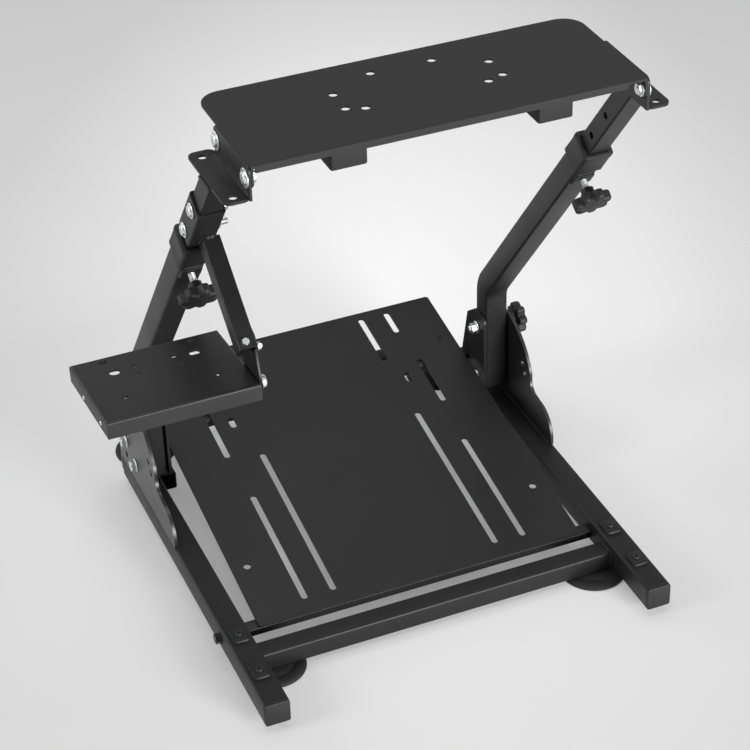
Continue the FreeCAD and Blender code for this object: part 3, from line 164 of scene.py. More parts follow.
def moulded_rubber():
    """Compression-moulded natural rubber for the feet and blocks: dull, with a dusty bloom."""
    material, tree, shader, place = new_material("black_moulded_rubber")
    bloom = add_node(tree, "ShaderNodeTexNoise", {"Scale": 60.0, "Detail": 5.0}, {"Vector": place})
    grain = add_node(tree, "ShaderNodeTexNoise", {"Scale": 1200.0, "Detail": 2.0}, {"Vector": place})
    tone = add_node(tree, "ShaderNodeValToRGB", links={"Fac": bloom.outputs["Fac"]})
    tone.color_ramp.elements[0].color = linear("#0b0b0b")
    tone.color_ramp.elements[1].color = linear("#141414")
    relief = add_node(tree, "ShaderNodeBump", {"Strength": 0.2, "Distance": 0.0003},
                    {"Height": grain.outputs["Fac"]})
    tree.links.new(tone.outputs["Color"], shader.inputs["Base Color"])
    tree.links.new(relief.outputs["Normal"], shader.inputs["Normal"])
    shader.inputs["Roughness"].default_value = 0.72
    shader.inputs["IOR"].default_value = 1.52
    return material


def zinc_plate():
    """Bright zinc-plated steel screws: a pale silver film, rolled and turned, faintly cloudy."""
    material, tree, shader, place = new_material("zinc_plated_steel")
    cloud = add_node(tree, "ShaderNodeTexNoise", {"Scale": 260.0, "Detail": 3.0}, {"Vector": place})
    tone = add_node(tree, "ShaderNodeValToRGB", links={"Fac": cloud.outputs["Fac"]})
    tone.color_ramp.elements[0].color = linear("#dcdddd")
    tone.color_ramp.elements[1].color = linear("#eeeff0")
    gloss = add_node(tree, "ShaderNodeMapRange", {"To Min": 0.34, "To Max": 0.46},
                     {"Value": cloud.outputs["Fac"]})
    tree.links.new(tone.outputs["Color"], shader.inputs["Base Color"])
    tree.links.new(gloss.outputs["Result"], shader.inputs["Roughness"])
    shader.inputs["Metallic"].default_value = 1.0
    return material


def black_oxide():
    """Steel bolts blackened in hot oxide and oiled: nearly black, with a soft metal glint."""
    material, tree, shader, place = new_material("black_oxide_steel")
    cloud = add_node(tree, "ShaderNodeTexNoise", {"Scale": 300.0, "Detail": 3.0}, {"Vector": place})
    tone = add_node(tree, "ShaderNodeValToRGB", links={"Fac": cloud.outputs["Fac"]})
    tone.color_ramp.elements[0].color = linear("#19191a")
    tone.color_ramp.elements[1].color = linear("#262627")
    tree.links.new(tone.outputs["Color"], shader.inputs["Base Color"])
    shader.inputs["Roughness"].default_value = 0.38
    return material


COAT = powder_coat("black_powder_coat", 0.42, 0.50, 1.43)
SATIN = powder_coat("satin_powder_coat", 0.33, 0.39, 1.62)
NYLON = moulded_plastic()
RUBBER = moulded_rubber()
ZINC = zinc_plate()
OXIDE = black_oxide()


# Surfaces: a skin is (points, faces)

def skin(grid, along=False):
    """The faces between the points of a grid[row, column, 3].

    Columns go round the shape counter-clockwise as its rows run on, and each face joins a point to its
    neighbours in the next column and row. With along the last row joins the first; without it the first
    and the last row are closed by a face each.
    """
    rows, columns = grid.shape[:2]
    index = np.arange(rows * columns).reshape(rows, columns)
    right = np.roll(index, -1, axis=1)
    above = np.roll(index, -1, axis=0)
    corner = np.roll(right, -1, axis=0)
    quads = np.stack([index, right, corner, above], axis=-1)
    quads = quads if along else quads[:-1]
    faces = quads.reshape(-1, 4).tolist()
    if not along:
        faces.append(index[0][::-1].tolist())
        faces.append(index[-1].tolist())
    return grid.reshape(-1, 3), faces


def placed(shape, origin, axis, side=ACROSS):
    """A skin moved so that its own Z runs along axis and its own X as near to side as it can."""
    points, faces = shape
    axis = np.asarray(axis, float) / np.linalg.norm(axis)
    first = side - axis * np.dot(side, axis)
    if np.linalg.norm(first) < 1e-6:
        first = AWAY
    first = first / np.linalg.norm(first)
    second = np.cross(axis, first)
    return np.asarray(origin) + points @ np.stack([first, second, axis]), faces


def square_profile(wide, deep, corner, steps=5):
    """A rectangle with quarter-circle corners, counter-clockwise from the middle of its right side."""
    turn = np.linspace(0, math.pi / 2, steps)
    quarter = np.arange(4) * math.pi / 2
    angle = (quarter[:, None] + turn).ravel()
    sign_x = np.repeat([1, -1, -1, 1], steps)
    sign_y = np.repeat([1, 1, -1, -1], steps)
    across = sign_x * (wide / 2 - corner) + corner * np.cos(angle)
    up = sign_y * (deep / 2 - corner) + corner * np.sin(angle)
    return np.stack([across, up], axis=-1)


def stack(sections, steps=5):
    """A block of rounded rectangles (wide, deep, corner, height) one over another."""
    rows = [np.column_stack([square_profile(wide, deep, corner, steps), np.full(4 * steps, height)])
            for wide, deep, corner, height in sections]
    return skin(np.stack(rows))


def soft_block(wide, deep, corner, high, edge):
    """A block whose upper and lower edges are quarter circles of radius edge."""
    turn = np.linspace(0, math.pi / 2, 4)
    inset = edge * (1 - np.sin(turn))
    lift = edge * (1 - np.cos(turn))
    lower = [(wide - 2 * step, deep - 2 * step, max(corner - step, 0.0002), rise)
             for step, rise in zip(inset, lift)]
    upper = [(w, d, c, high - rise) for w, d, c, rise in reversed(lower)]
    return stack(lower + upper)


def ring_stack(sections, steps=5):
    """A closed ring of rounded rectangles: rows up the outside and down the inside."""
    rows = [np.column_stack([square_profile(wide, deep, corner, steps), np.full(4 * steps, height)])
            for wide, deep, corner, height in sections]
    return skin(np.stack(rows), along=True)


def swept(path, profile, across):
    """A profile carried along a path, its first axis kept along across."""
    way = np.gradient(path, axis=0)
    way /= np.linalg.norm(way, axis=1, keepdims=True)
    up = np.cross(way, across)
    up /= np.linalg.norm(up, axis=1, keepdims=True)
    right = np.cross(up, way)
    return path[:, None] + profile[None, :, :1] * right[:, None] + profile[None, :, 1:] * up[:, None]


def square_tube(path, side, across):
    """A hollow square tube: the outside swept forwards and the inside swept back, joined at the ends."""
    outside = swept(path, square_profile(side, side, TUBE_ROUND), across)
    hole = side - 2 * TUBE_WALL
    inside = swept(path, square_profile(hole, hole, TUBE_ROUND - TUBE_WALL * 0.8), across)
    return skin(np.concatenate([outside, inside[::-1]]), along=True)


def straight(start, end, count=2):
    """Points evenly spaced from start to end."""
    return np.linspace(np.asarray(start, float), np.asarray(end, float), count)


def turned(profile, columns):
    """Rows of points (radius, height) carried round Z as (radius cos, radius sin, height)."""
    profile = np.asarray(profile, float)
    turn = np.linspace(0, 2 * math.pi, columns, endpoint=False)
    high = np.broadcast_to(profile[:, 1:], (len(profile), columns))
    return np.stack([profile[:, :1] * np.cos(turn), profile[:, :1] * np.sin(turn), high], axis=-1)


def lathe(profile, columns=48):
    """A profile of (radius, height) turned about Z."""
    return skin(turned(profile, columns))


def turned_ring(profile):
    """A closed profile of (radius, height) turned about Z, such as a washer's section."""
    return skin(turned(profile, 40), along=True)


def washer(inner, outer, thick):
    """A flat ring whose outer edges are bevelled by a third of its thickness."""
    edge = thick * 0.3
    return turned_ring([(outer - edge, 0), (outer, edge), (outer, thick - edge), (outer - edge, thick),
                        (inner, thick), (inner, 0)])


def hex_radius(turn, across_flats):
    """How far a hexagon's side lies from its centre at each turn."""
    folded = np.mod(turn + math.pi / 6, math.pi / 3) - math.pi / 6
    return across_flats / 2 / np.cos(folded)


def hex_head(across_flats, high, bottom=False):
    """A hexagon cut by a cone: each row's radius is the lesser of the hexagon and the chamfer's circle.

    With bottom its lower side is cut in the same way, as a nut's is.
    """
    columns = 72
    turn = np.linspace(0, 2 * math.pi, columns, endpoint=False)
    flat = hex_radius(turn, across_flats)
    corner = across_flats / math.sqrt(3)
    half = across_flats / 2
    chamfer = corner - half
    slope = 0.6
    levels = [(0.0, half if bottom else corner)]
    if bottom:
        levels += [(chamfer * share * slope, half + chamfer * share) for share in (0.35, 0.7, 1.0)]
    levels += [(high - chamfer * share * slope, half + chamfer * share)
               for share in (1.0, 0.7, 0.35, 0.0)]
    levels.append((high, across_flats * 0.42))
    rows = []
    for height, circle in levels:
        radius = np.minimum(flat, circle)
        rows.append(np.stack([radius * np.cos(turn), radius * np.sin(turn), np.full(columns, height)], -1))
    return skin(np.stack(rows))


def thread(radius, length, pitch=SCREW_PITCH):
    """A screw thread: the radius falls and rises with the distance along less the turn's share of a pitch."""
    columns = 28
    depth = pitch * 0.54
    rows = max(int(length / pitch * 6), 12)
    height = np.linspace(0, length, rows)[:, None]
    turn = np.linspace(0, 2 * math.pi, columns, endpoint=False)[None, :]
    phase = np.mod(height / pitch - turn / (2 * math.pi), 1.0)
    ridge = 1 - np.abs(2 * phase - 1)
    ends = np.clip(np.minimum(height, length - height) / (pitch * 0.8), 0, 1)
    core = radius - depth * (1 - ridge) - depth * 0.6 * (1 - ends)
    high = np.broadcast_to(height, core.shape)
    return skin(np.stack([core * np.cos(turn), core * np.sin(turn), high], axis=-1))


def button_head(radius, high, drive):
    """A domed screw head with a hexagon socket, drive across its flats, sunk into its crown."""
    columns = 48
    turn = np.linspace(0, 2 * math.pi, columns, endpoint=False)
    shares = np.array([1.0, 1.0, 0.98, 0.93, 0.86, 0.76, 0.62])
    heights = np.array([0.0, 0.35, 0.58, 0.78, 0.90, 0.97, 1.0]) * high
    rows = []
    for share, height in zip(shares, heights):
        circle = radius * share
        rows.append(np.stack([circle * np.cos(turn), circle * np.sin(turn), np.full(columns, height)], -1))
    flat = hex_radius(turn, drive)
    for scale, height in ((1.06, high), (1.0, high * 0.96), (0.98, high * 0.45)):
        socket = flat * scale
        rows.append(np.stack([socket * np.cos(turn), socket * np.sin(turn), np.full(columns, height)], -1))
    return skin(np.stack(rows))


def star_head(radius, thick, lobes, hollow, dome):
    """A lobed knob: the edge's radius swings with the cosine of the lobes' turn, sharpened into scallops."""
    columns = 168
    turn = np.linspace(0, 2 * math.pi, columns, endpoint=False)
    wave = (1 - np.cos(lobes * turn)) / 2
    edge = radius - hollow * (1 - wave) ** 1.6
    base = radius * 0.60
    levels = (
        (0.62, 0.00), (0.90, 0.00), (0.965, 0.05), (0.995, 0.14), (1.0, 0.30), (1.0, 0.62),
        (0.99, 0.76), (0.955, 0.88), (0.88, 0.96), (0.76, 1.0), (0.56, 1.0 + dome * 0.4),
        (0.50, 1.0 + dome * 0.2), (0.46, 1.0), (0.42, 1.0 + dome * 0.3), (0.25, 1.0 + dome),
        (0.05, 1.0 + dome * 1.15),
    )
    rows = []
    for share, height in levels:
        round_share = np.clip((0.80 - share) / 0.25, 0, 1)
        ring = edge * share * (1 - round_share) + base / 0.6 * 0.93 * share * round_share
        lift = np.full(columns, height * thick)
        rows.append(np.stack([ring * np.cos(turn), ring * np.sin(turn), lift], -1))
    return skin(np.stack(rows))


def weld_bead(start, end, radius, normal):
    """A ripple of weld: a round section along a path whose radius swells once for each drop of metal."""
    path = straight(start, end, max(int(np.linalg.norm(np.subtract(end, start)) / 0.0006), 12))
    length = np.concatenate([[0], np.cumsum(np.linalg.norm(np.diff(path, axis=0), axis=1))])
    ripple = np.abs(np.sin(length / 0.0022 * math.pi))
    swell = radius * (0.92 + 0.10 * ripple + 0.02 * rng.standard_normal(len(path)))
    ends = np.clip(np.minimum(length, length[-1] - length) / (radius * 1.2), 0.15, 1)
    turn = np.linspace(0, 2 * math.pi, 12, endpoint=False)
    profile = np.stack([np.cos(turn), np.sin(turn)], -1)
    grid = swept(path, profile, np.asarray(normal, float))
    grid = path[:, None] + (grid - path[:, None]) * (swell * ends)[:, None, None]
    return skin(grid)


def piece(name, skins, material, body, replaces=(), bevel=0.0):
    """One mesh of several skins, with its finish, the body that it rides on and the node it stands for."""
    skins = list(skins)
    offsets = np.cumsum([0] + [len(points) for points, faces in skins])
    points = np.concatenate([points for points, faces in skins])
    faces = [[index + offset for index in face] for (_, own), offset in zip(skins, offsets) for face in own]
    mesh = bpy.data.meshes.new(name)
    mesh.from_pydata(points.tolist(), [], faces)
    return finished(name, mesh, material, body, replaces, bevel, crease=35)


def finished(name, mesh, material, body, replaces, bevel, crease):
    """The mesh as an object with its finish, its shading broken past crease degrees and its edges eased."""
    mesh.shade_smooth()
    mesh.set_sharp_from_angle(angle=math.radians(crease))
    mesh.materials.clear()
    mesh.materials.append(material)
    made = bpy.data.objects.new(name, mesh)
    bpy.context.scene.collection.objects.link(made)
    if bevel:
        round_edges = made.modifiers.new("edges", "BEVEL")
        round_edges.width = bevel
        round_edges.segments = 3
        round_edges.limit_method = "WEIGHT" if "bevel_weight_edge" in mesh.attributes else "ANGLE"
        round_edges.angle_limit = math.radians(crease)
        round_edges.harden_normals = True
    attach(made, body)
    if replaces:
        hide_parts(*replaces)
    return made


def rounded_copy(node, body, material=COAT, bevel=SHEET_EASE):
    """A node's own sheet or tube with its doubled points merged and its outward edges eased by a bevel."""
    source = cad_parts[node]
    mesh = source.data.copy()
    crease = 30
    work = bmesh.new()
    work.from_mesh(mesh)
    bmesh.ops.remove_doubles(work, verts=work.verts, dist=0.00001)
    bmesh.ops.dissolve_limit(work, angle_limit=math.radians(0.5), verts=work.verts, edges=work.edges)
    weight = work.edges.layers.float.new("bevel_weight_edge")
    for edge in work.edges:
        turned_out = len(edge.link_faces) == 2 and edge.is_convex
        edge[weight] = 1.0 if turned_out and edge.calc_face_angle() > math.radians(crease) else 0.0
    work.to_mesh(mesh)
    work.free()
    return finished(node + "_sheet", mesh, material, body, (node,), bevel, crease)


def corners(node):
    """The lowest and the highest corner of a node's box."""
    low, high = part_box(node)
    return np.array(low), np.array(high)


def middle(node):
    """The middle of a node's box."""
    low, high = corners(node)
    return (low + high) / 2


def lean_point(x, along, back=0.0):
    """A point of the leaning frame: its distance up the tube from the bend and back from its middle."""
    return np.array([x, BEND_Y, BEND_Z]) + LEAN_UP * along + LEAN_BACK * back


# Base

def base():
    """The rails, the rear arms, the two cross beams and the rails' end caps."""
    cap_thick = 0.004
    for name, _ in SIDES:
        for kind, square in (("rail", TUBE_SIDE), ("rear_arm", SLIM_SIDE)):
            low, high = corners(f"{kind}_{name}")
            mid = (low + high) / 2
            path = straight((mid[0], low[1], mid[2]), (mid[0], high[1], mid[2]))
            piece(f"{kind}_tube_{name}", [square_tube(path, square, ACROSS)], COAT, "root",
                  (f"{kind}_{name}",), bevel=TUBE_EASE)
    for node in ("front_beam", "rear_beam"):
        low, high = corners(node)
        mid = (low + high) / 2
        path = straight((low[0], mid[1], mid[2]), (high[0], mid[1], mid[2]))
        piece(f"{node}_tube", [square_tube(path, SLIM_SIDE, AWAY)], COAT, "root", (node,), bevel=TUBE_EASE)
    for row, face in (("front", -1), ("rear", 1)):
        low, high = corners(f"rail_caps_{row}")
        end = low[1] if face < 0 else high[1]
        heads = []
        for name, _ in SIDES:
            mid = middle(f"rail_{name}")
            seat = (mid[0], end - face * cap_thick, mid[2])
            cap = soft_block(TUBE_SIDE, TUBE_SIDE, 0.003, cap_thick, 0.0012)
            heads.append(placed(cap, seat, AWAY * face))
        piece(f"rail_end_caps_{row}", heads, NYLON, "root", (f"rail_caps_{row}",))


def feet():
    """Each foot is a turned rubber disc: a low dome over a flared skirt with a shallow groove."""
    for row in ("front", "rear"):
        for name, _ in SIDES:
            node = f"foot_{row}_{name}"
            low, high = corners(node)
            mid = (low + high) / 2
            radius = (high[0] - low[0]) / 2
            profile = [(0.004, 0.0012), (radius - 0.006, 0.0), (radius - 0.0012, 0.0), (radius, 0.0012),
                       (radius, 0.0026), (radius - 0.0008, 0.0036), (radius - 0.0025, 0.0050),
                       (radius - 0.0045, 0.0056), (radius - 0.012, 0.0058), (radius - 0.013, 0.0054),
                       (radius - 0.015, 0.0054), (radius - 0.016, 0.0059), (0.004, 0.0060)]
            piece(f"{node}_disc", [placed(lathe(profile, 96), (mid[0], mid[1], low[2]), UP)], RUBBER, "root",
                  (node,))


def rail_pads():
    """The raised pads on the rails, each a plate with an eased upper edge and a screw head."""
    low, high = corners("rail_pads")
    long = 0.026
    layers = [(0.019, long, 0.003, 0.0), (0.019, long, 0.003, 0.0022), (0.0182, 0.0252, 0.0026, 0.0028),
              (0.0170, 0.0240, 0.002, 0.0030)]
    tops = []
    heads = []
    for name, _ in SIDES:
        x = middle(f"rail_{name}")[0]
        for start in (low[1], high[1] - long):
            y = start + long / 2
            tops.append(placed(stack(layers), (x, y, low[2]), UP))
            heads.append(placed(button_head(0.004, 0.0022, 0.004), (x, y, high[2]), UP))
    piece("rail_pad_plates", tops, COAT, "root", ("rail_pads",))
    piece("pad_screw_heads", heads, OXIDE, "root", ("pad_screws",))


def fork_plates():
    """The plates of the two forks that hold the uprights."""
    for name, _ in SIDES:
        rounded_copy(f"gusset_{name}", "root", SATIN)
        rounded_copy(f"ear_{name}", "root")


def side_bolt(outer, inner, y, z, side, head_flats, washer_radius, shank):
    """A bolt along X with its hexagon head and washer outside and its shaft reaching the inner plate."""
    way = ACROSS * side
    parts = [
        placed(washer(shank, washer_radius, WASHER_THICK), (side * outer, y, z), way, UP),
        placed(hex_head(head_flats, BOLT_HEAD_HIGH), (side * (outer + WASHER_THICK), y, z), way, UP),
    ]
    shaft = lathe([(shank, 0.0), (shank, outer - inner)])
    parts.append(placed(shaft, (side * inner, y, z), way, UP))
    return parts


def base_bolts():
    """The uprights' pivots, the lock nuts, the pedal plate's rear bolts and the caps of its front pivots."""
    gusset_out = abs(corners("gusset_left")[0][0])
    ear_in = corners("ear_right")[0][0]
    ear_out = corners("ear_right")[1][0]
    rail_out = corners("rail_right")[1][0]
    pivot = middle("pivot_bolts")
    lock = middle("lock_nuts")
    rear = middle("pedal_bolts")
    front = middle("pedal_pivots")
    rod_long = 0.044
    spacer_radius = 0.0065
    spacer_hole = 0.0041
    spacer_end = gusset_out - 0.004
    spacer = turned_ring([(spacer_radius, ear_out), (spacer_radius, spacer_end), (spacer_hole, spacer_end),
                          (spacer_hole, ear_out)])
    pivots, nuts, rears, fronts = [], [], [], []
    for _, side in SIDES:
        way = ACROSS * side
        pivots += side_bolt(gusset_out, ear_in, pivot[1], pivot[2], side, 0.0130, WASHER_RADIUS, 0.005)
        pivot_seat = (side * ear_in, pivot[1], pivot[2])
        pivots.append(placed(button_head(0.0085, 0.0033, 0.006), pivot_seat, -way, UP))
        seat = (side * ear_in, lock[1], lock[2])
        nut_seat = (side * (ear_in - WASHER_THICK), lock[1], lock[2])
        end_seat = (side * (ear_in - 0.0001), lock[1], lock[2])
        nuts.append(placed(washer(SCREW_RADIUS, WASHER_RADIUS, WASHER_THICK), seat, -way, UP))
        nuts.append(placed(hex_head(NUT_FLATS, NUT_HIGH, True), nut_seat, -way, UP))
        nuts.append(placed(thread(SCREW_RADIUS, 0.0115), end_seat, -way, UP))
        nuts.append(placed(lathe([(SCREW_RADIUS, 0), (SCREW_RADIUS, ear_out - ear_in)]), seat, way, UP))
        rears += side_bolt(gusset_out, ear_in, rear[1], rear[2], side, 0.0117, 0.0080, SCREW_RADIUS)
        rears.append(placed(spacer, (0, rear[1], rear[2]), way, UP))
        cap_seat = (side * rail_out, front[1], front[2])
        head_seat = (side * (rail_out + 0.001), front[1], front[2])
        rod_seat = (side * (rail_out - rod_long), front[1], front[2])
        fronts.append(placed(washer(SCREW_RADIUS, 0.0080, 0.001), cap_seat, way, UP))
        fronts.append(placed(hex_head(0.0113, 0.005), head_seat, way, UP))
        fronts.append(placed(lathe([(SCREW_RADIUS, 0), (SCREW_RADIUS, rod_long)]), rod_seat, way, UP))
    piece("pivot_bolt_set", pivots, ZINC, "root", ("pivot_bolts",))
    piece("lock_nut_set", nuts, ZINC, "root", ("lock_nuts",))
    piece("pedal_bolt_set", rears, ZINC, "root", ("pedal_bolts",))
    piece("pedal_pivot_caps", fronts, OXIDE, "root", ("pedal_pivots",))


def fold_knobs():
    """Each fold lock's knob: a lobed head on a round hub, with the end of its stud."""
    head_start = 0.0119
    for name, side in SIDES:
        way = ACROSS * side
        node = f"fold_knob_{name}"
        low, high = corners(node)
        mid = (low + high) / 2
        start = low[0] if side > 0 else high[0]
        hub = lathe([(0.0078, 0.0), (0.0084, 0.0006), (0.0084, 0.0100), (0.0092, 0.0123)])
        parts = [placed(hub, (start, mid[1], mid[2]), way, UP)]
        star = star_head(0.0204, 0.0118, KNOB_LOBES, 0.0056, 0.08)
        head = placed(star, (start + side * head_start, mid[1], mid[2]), way, UP)
        piece(f"fold_star_{name}", parts + [head], NYLON, f"fold_knob_{name}", (node,))
        low, high = corners(f"fold_stud_{name}")
        begin = low[0] if side > 0 else high[0]
        stud = placed(thread(SCREW_RADIUS, 0.0060), (begin, mid[1], mid[2]), way, UP)
        piece(f"fold_stud_thread_{name}", [stud], ZINC, f"fold_knob_{name}", (f"fold_stud_{name}",))


# Uprights

def bent_path(x, low):
    """Up from the lower end, round the bend as a circle's arc, and up the lean."""
    tangent = BEND_RADIUS * math.tan(LEAN / 2)
    turn = np.linspace(0, LEAN, 14)
    centre = np.array([BEND_Y - BEND_RADIUS, BEND_Z - tangent])
    arc = centre + BEND_RADIUS * np.stack([np.cos(turn), np.sin(turn)], -1)
    end = np.array([BEND_Y, BEND_Z]) + OUTER_REACH * LEAN_UP[1:]
    plane = np.concatenate([[(BEND_Y, low)], arc, [end]])
    return np.column_stack([np.full(len(plane), x), plane])


def uprights():
    """The bent outer tubes, the collars at their upper ends and the bosses of the height screws."""
    for name, _ in SIDES:
        low, high = corners(f"upright_outer_{name}")
        x = (low[0] + high[0]) / 2
        tube = square_tube(bent_path(x, low[2]), TUBE_SIDE, ACROSS)
        piece(f"upright_tube_{name}", [tube], COAT, "uprights", (f"upright_outer_{name}",), bevel=TUBE_EASE)
        wide = TUBE_SIDE + 0.006
        over = TUBE_SIDE + 0.0006
        guide = SLIM_SIDE + 0.0006
        foot = COLLAR_START
        lip = OUTER_REACH
        top = OUTER_REACH + COLLAR_LIP
        outline = [
            (wide - 0.0016, 0.0034, foot), (wide - 0.0004, 0.004, foot + 0.0008),
            (wide - 0.0008, 0.004, foot + 0.010), (wide - 0.0008, 0.004, lip - 0.004),
            (wide, 0.0042, lip - 0.003), (wide, 0.0042, top - 0.0014),
            (wide - 0.0008, 0.0038, top - 0.0004), (wide - 0.0022, 0.0034, top),
            (guide + 0.0010, 0.0028, top), (guide, 0.0024, top - 0.0006),
            (guide, 0.0024, lip), (over, 0.0028, lip), (over, 0.0028, foot),
        ]
        rows = [(square, square, corner, height) for square, corner, height in outline]
        collar = placed(ring_stack(rows), (x, BEND_Y, BEND_Z), LEAN_UP)
        piece(f"collar_ring_{name}", [collar], NYLON, "uprights", (f"collar_{name}",))
    bosses = []
    for name, _ in SIDES:
        x = middle(f"upright_outer_{name}")[0]
        face = lean_point(x, KNOB_SEAT, -TUBE_SIDE / 2 + 0.0001)
        bosses.append(placed(soft_block(0.024, 0.020, 0.003, 0.0031, 0.0006), face, -LEAN_BACK))
    piece("height_screw_bosses", bosses, COAT, "uprights", ("knob_bosses",))


def height_knobs():
    """Each knob is a lobed head on a round hub, on a threaded screw that stands off its boss."""
    for name, _ in SIDES:
        x = middle(f"upright_outer_{name}")[0]
        boss = TUBE_SIDE / 2 + 0.003
        hub_start = boss + 0.011
        head_start = hub_start + 0.0098
        way = -LEAN_BACK
        hub = lathe([(0.0070, 0.0), (0.0076, 0.0006), (0.0078, 0.0085), (0.0092, 0.0104)])
        star = star_head(0.0229, 0.0126, KNOB_LOBES, 0.0066, 0.06)
        parts = [placed(hub, lean_point(x, KNOB_SEAT, -hub_start), way),
                 placed(star, lean_point(x, KNOB_SEAT, -head_start), way)]
        piece(f"height_star_{name}", parts, NYLON, f"height_knob_{name}", (f"height_knob_{name}",))
        start = SLIM_SIDE / 2 + 0.0003
        screw = thread(SCREW_RADIUS, hub_start + 0.004 - start)
        piece(f"height_screw_thread_{name}", [placed(screw, lean_point(x, KNOB_SEAT, -start), way)], ZINC,
              f"height_knob_{name}", (f"height_screw_{name}",))


# Head

def head():
    """The inner tubes, the brackets, the wheel plate and the blocks under it."""
    for name, _ in SIDES:
        rounded_copy(f"upright_inner_{name}", "head", bevel=0.0)
        rounded_copy(f"head_bracket_{name}", "head")
    rounded_copy("wheel_plate", "head")
    low, high = corners("stop_blocks")
    blocks = []
    wide = 0.0395
    for side in (-1, 1):
        x = side * (high[0] - wide / 2)
        blocks.append(placed(soft_block(wide, high[1] - low[1], 0.003, high[2] - low[2], 0.0015),
                             (x, (low[1] + high[1]) / 2, low[2]), UP))
    piece("plate_blocks", blocks, RUBBER, "head", ("stop_blocks",))


def head_bolts():
    """Two bolts a side through bracket and flange: a washer and a button head outside, a thin nut inside."""
    low, high = corners("head_bolts")
    plate = corners("wheel_plate")[1][0]
    thick = 0.0012
    outer = plate + 0.003
    inner = plate - PLATE_THICK
    z = (low[2] + high[2]) / 2
    parts = []
    for _, side in SIDES:
        way = ACROSS * side
        for y in (low[1] + 0.012, high[1] - 0.012):
            parts.append(placed(washer(SCREW_RADIUS, 0.0104, thick), (side * outer, y, z), way, UP))
            parts.append(placed(button_head(0.0066, 0.0026, 0.0030), (side * (outer + thick), y, z), way, UP))
            parts.append(placed(washer(SCREW_RADIUS, 0.0085, 0.0010), (side * inner, y, z), -way, UP))
            parts.append(placed(hex_head(0.0115, 0.0030, True), (side * (inner - thick), y, z), -way, UP))
            parts.append(placed(thread(SCREW_RADIUS, 0.0048), (side * (inner - 0.0001), y, z), -way, UP))
    piece("head_bolt_set", parts, ZINC, "head", ("head_bolts",))


def shifter_mount():
    """The sleeve with its two bolts, the arm, the tab and the folded plate."""
    x = middle("upright_outer_left")[0]
    low, high = corners("shifter_sleeve")
    half = (high[0] - low[0]) / 2
    rounded_copy("shifter_sleeve", "head", bevel=TUBE_EASE)
    rounded_copy("shifter_arm", "head", bevel=TUBE_EASE)
    rounded_copy("shifter_tab", "head")
    rounded_copy("shifter_plate", "head", bevel=0.0005)
    parts = []
    for along, past in ((0.446, 0.0165), (0.495, 0.0090)):
        seat = lean_point(x, along)
        outside = seat - ACROSS * half
        inside = seat + ACROSS * half
        parts.append(placed(washer(SCREW_RADIUS, WASHER_RADIUS, WASHER_THICK), outside, -ACROSS, UP))
        head_seat = outside - ACROSS * WASHER_THICK
        parts.append(placed(button_head(0.0060, 0.0026, 0.0028), head_seat, -ACROSS, UP))
        parts.append(placed(hex_head(NUT_FLATS, NUT_HIGH, True), inside, ACROSS, UP))
        parts.append(placed(thread(SCREW_RADIUS, past), inside - ACROSS * 0.0001, ACROSS, UP))
    piece("sleeve_bolt_set", parts, ZINC, "head", ("sleeve_bolts",))


def pedals():
    """The pedal plate and the two tubes under it."""
    rounded_copy("pedal_plate", "pedals")
    rounded_copy("pedal_tube_front", "pedals", bevel=TUBE_EASE)
    rounded_copy("pedal_tube_rear", "pedals", bevel=TUBE_EASE)


# Weld seams


def bead_round(points, radius, normal):
    """Beads along the sides of a closed outline."""
    return [weld_bead(start, end, radius, normal) for start, end in zip(points, points[1:] + points[:1])]


def base_welds():
    """Seams of the gussets on the rails, the beams' ends, the rear arms and the ears."""
    beads = []
    for name, side in SIDES:
        low, high = corners(f"gusset_{name}")
        rail_low, rail_high = corners(f"rail_{name}")
        x = low[0] if side > 0 else high[0]
        top = rail_high[2]
        beads.append(weld_bead((x, low[1] + 0.002, top), (x, rail_high[1] - 0.004, top), 0.0020, UP))
        inner = abs(rail_low[0] if side > 0 else rail_high[0]) * side
        beam_low, beam_high = corners("front_beam")
        foot, crown = beam_low[2] + 0.0055, beam_high[2]
        for y in (beam_low[1], beam_high[1]):
            beads.append(weld_bead((inner, y, foot), (inner, y, crown - 0.001), SEAM_RADIUS, ACROSS))
        beads.append(weld_bead((inner, beam_low[1], crown), (inner, beam_high[1], crown), SEAM_RADIUS, UP))
        arm_low, arm_high = corners(f"rear_arm_{name}")
        crown = arm_high[2]
        beads.append(weld_bead((inner, arm_low[1], crown), (inner, rail_high[1], crown), SEAM_RADIUS, UP))
        rear_low, rear_high = corners("rear_beam")
        left, right = arm_low[0] + 0.002, arm_high[0] - 0.002
        for y in (rear_low[1], rear_high[1]):
            beads.append(weld_bead((left, y, crown), (right, y, crown), SEAM_RADIUS, UP))
        ear_low, ear_high = corners(f"ear_{name}")
        front, back = ear_high[1] - 0.029, ear_high[1] - 0.001
        for x in (ear_low[0], ear_high[0]):
            beads.append(weld_bead((x, front, crown), (x, back, crown), SEAM_RADIUS, UP))
    piece("base_weld_seams", beads, COAT, "root")


def upright_welds():
    """Seams round the screw bosses on the outer tubes."""
    beads = []
    for name, _ in SIDES:
        x = middle(f"upright_outer_{name}")[0]
        ring = [lean_point(x + across * 0.0115, KNOB_SEAT + along * 0.0100, -TUBE_SIDE / 2)
                for across, along in ((-1, -1), (1, -1), (1, 1), (-1, 1))]
        beads += bead_round(ring, 0.0014, LEAN_BACK)
    piece("boss_weld_seams", beads, COAT, "uprights")


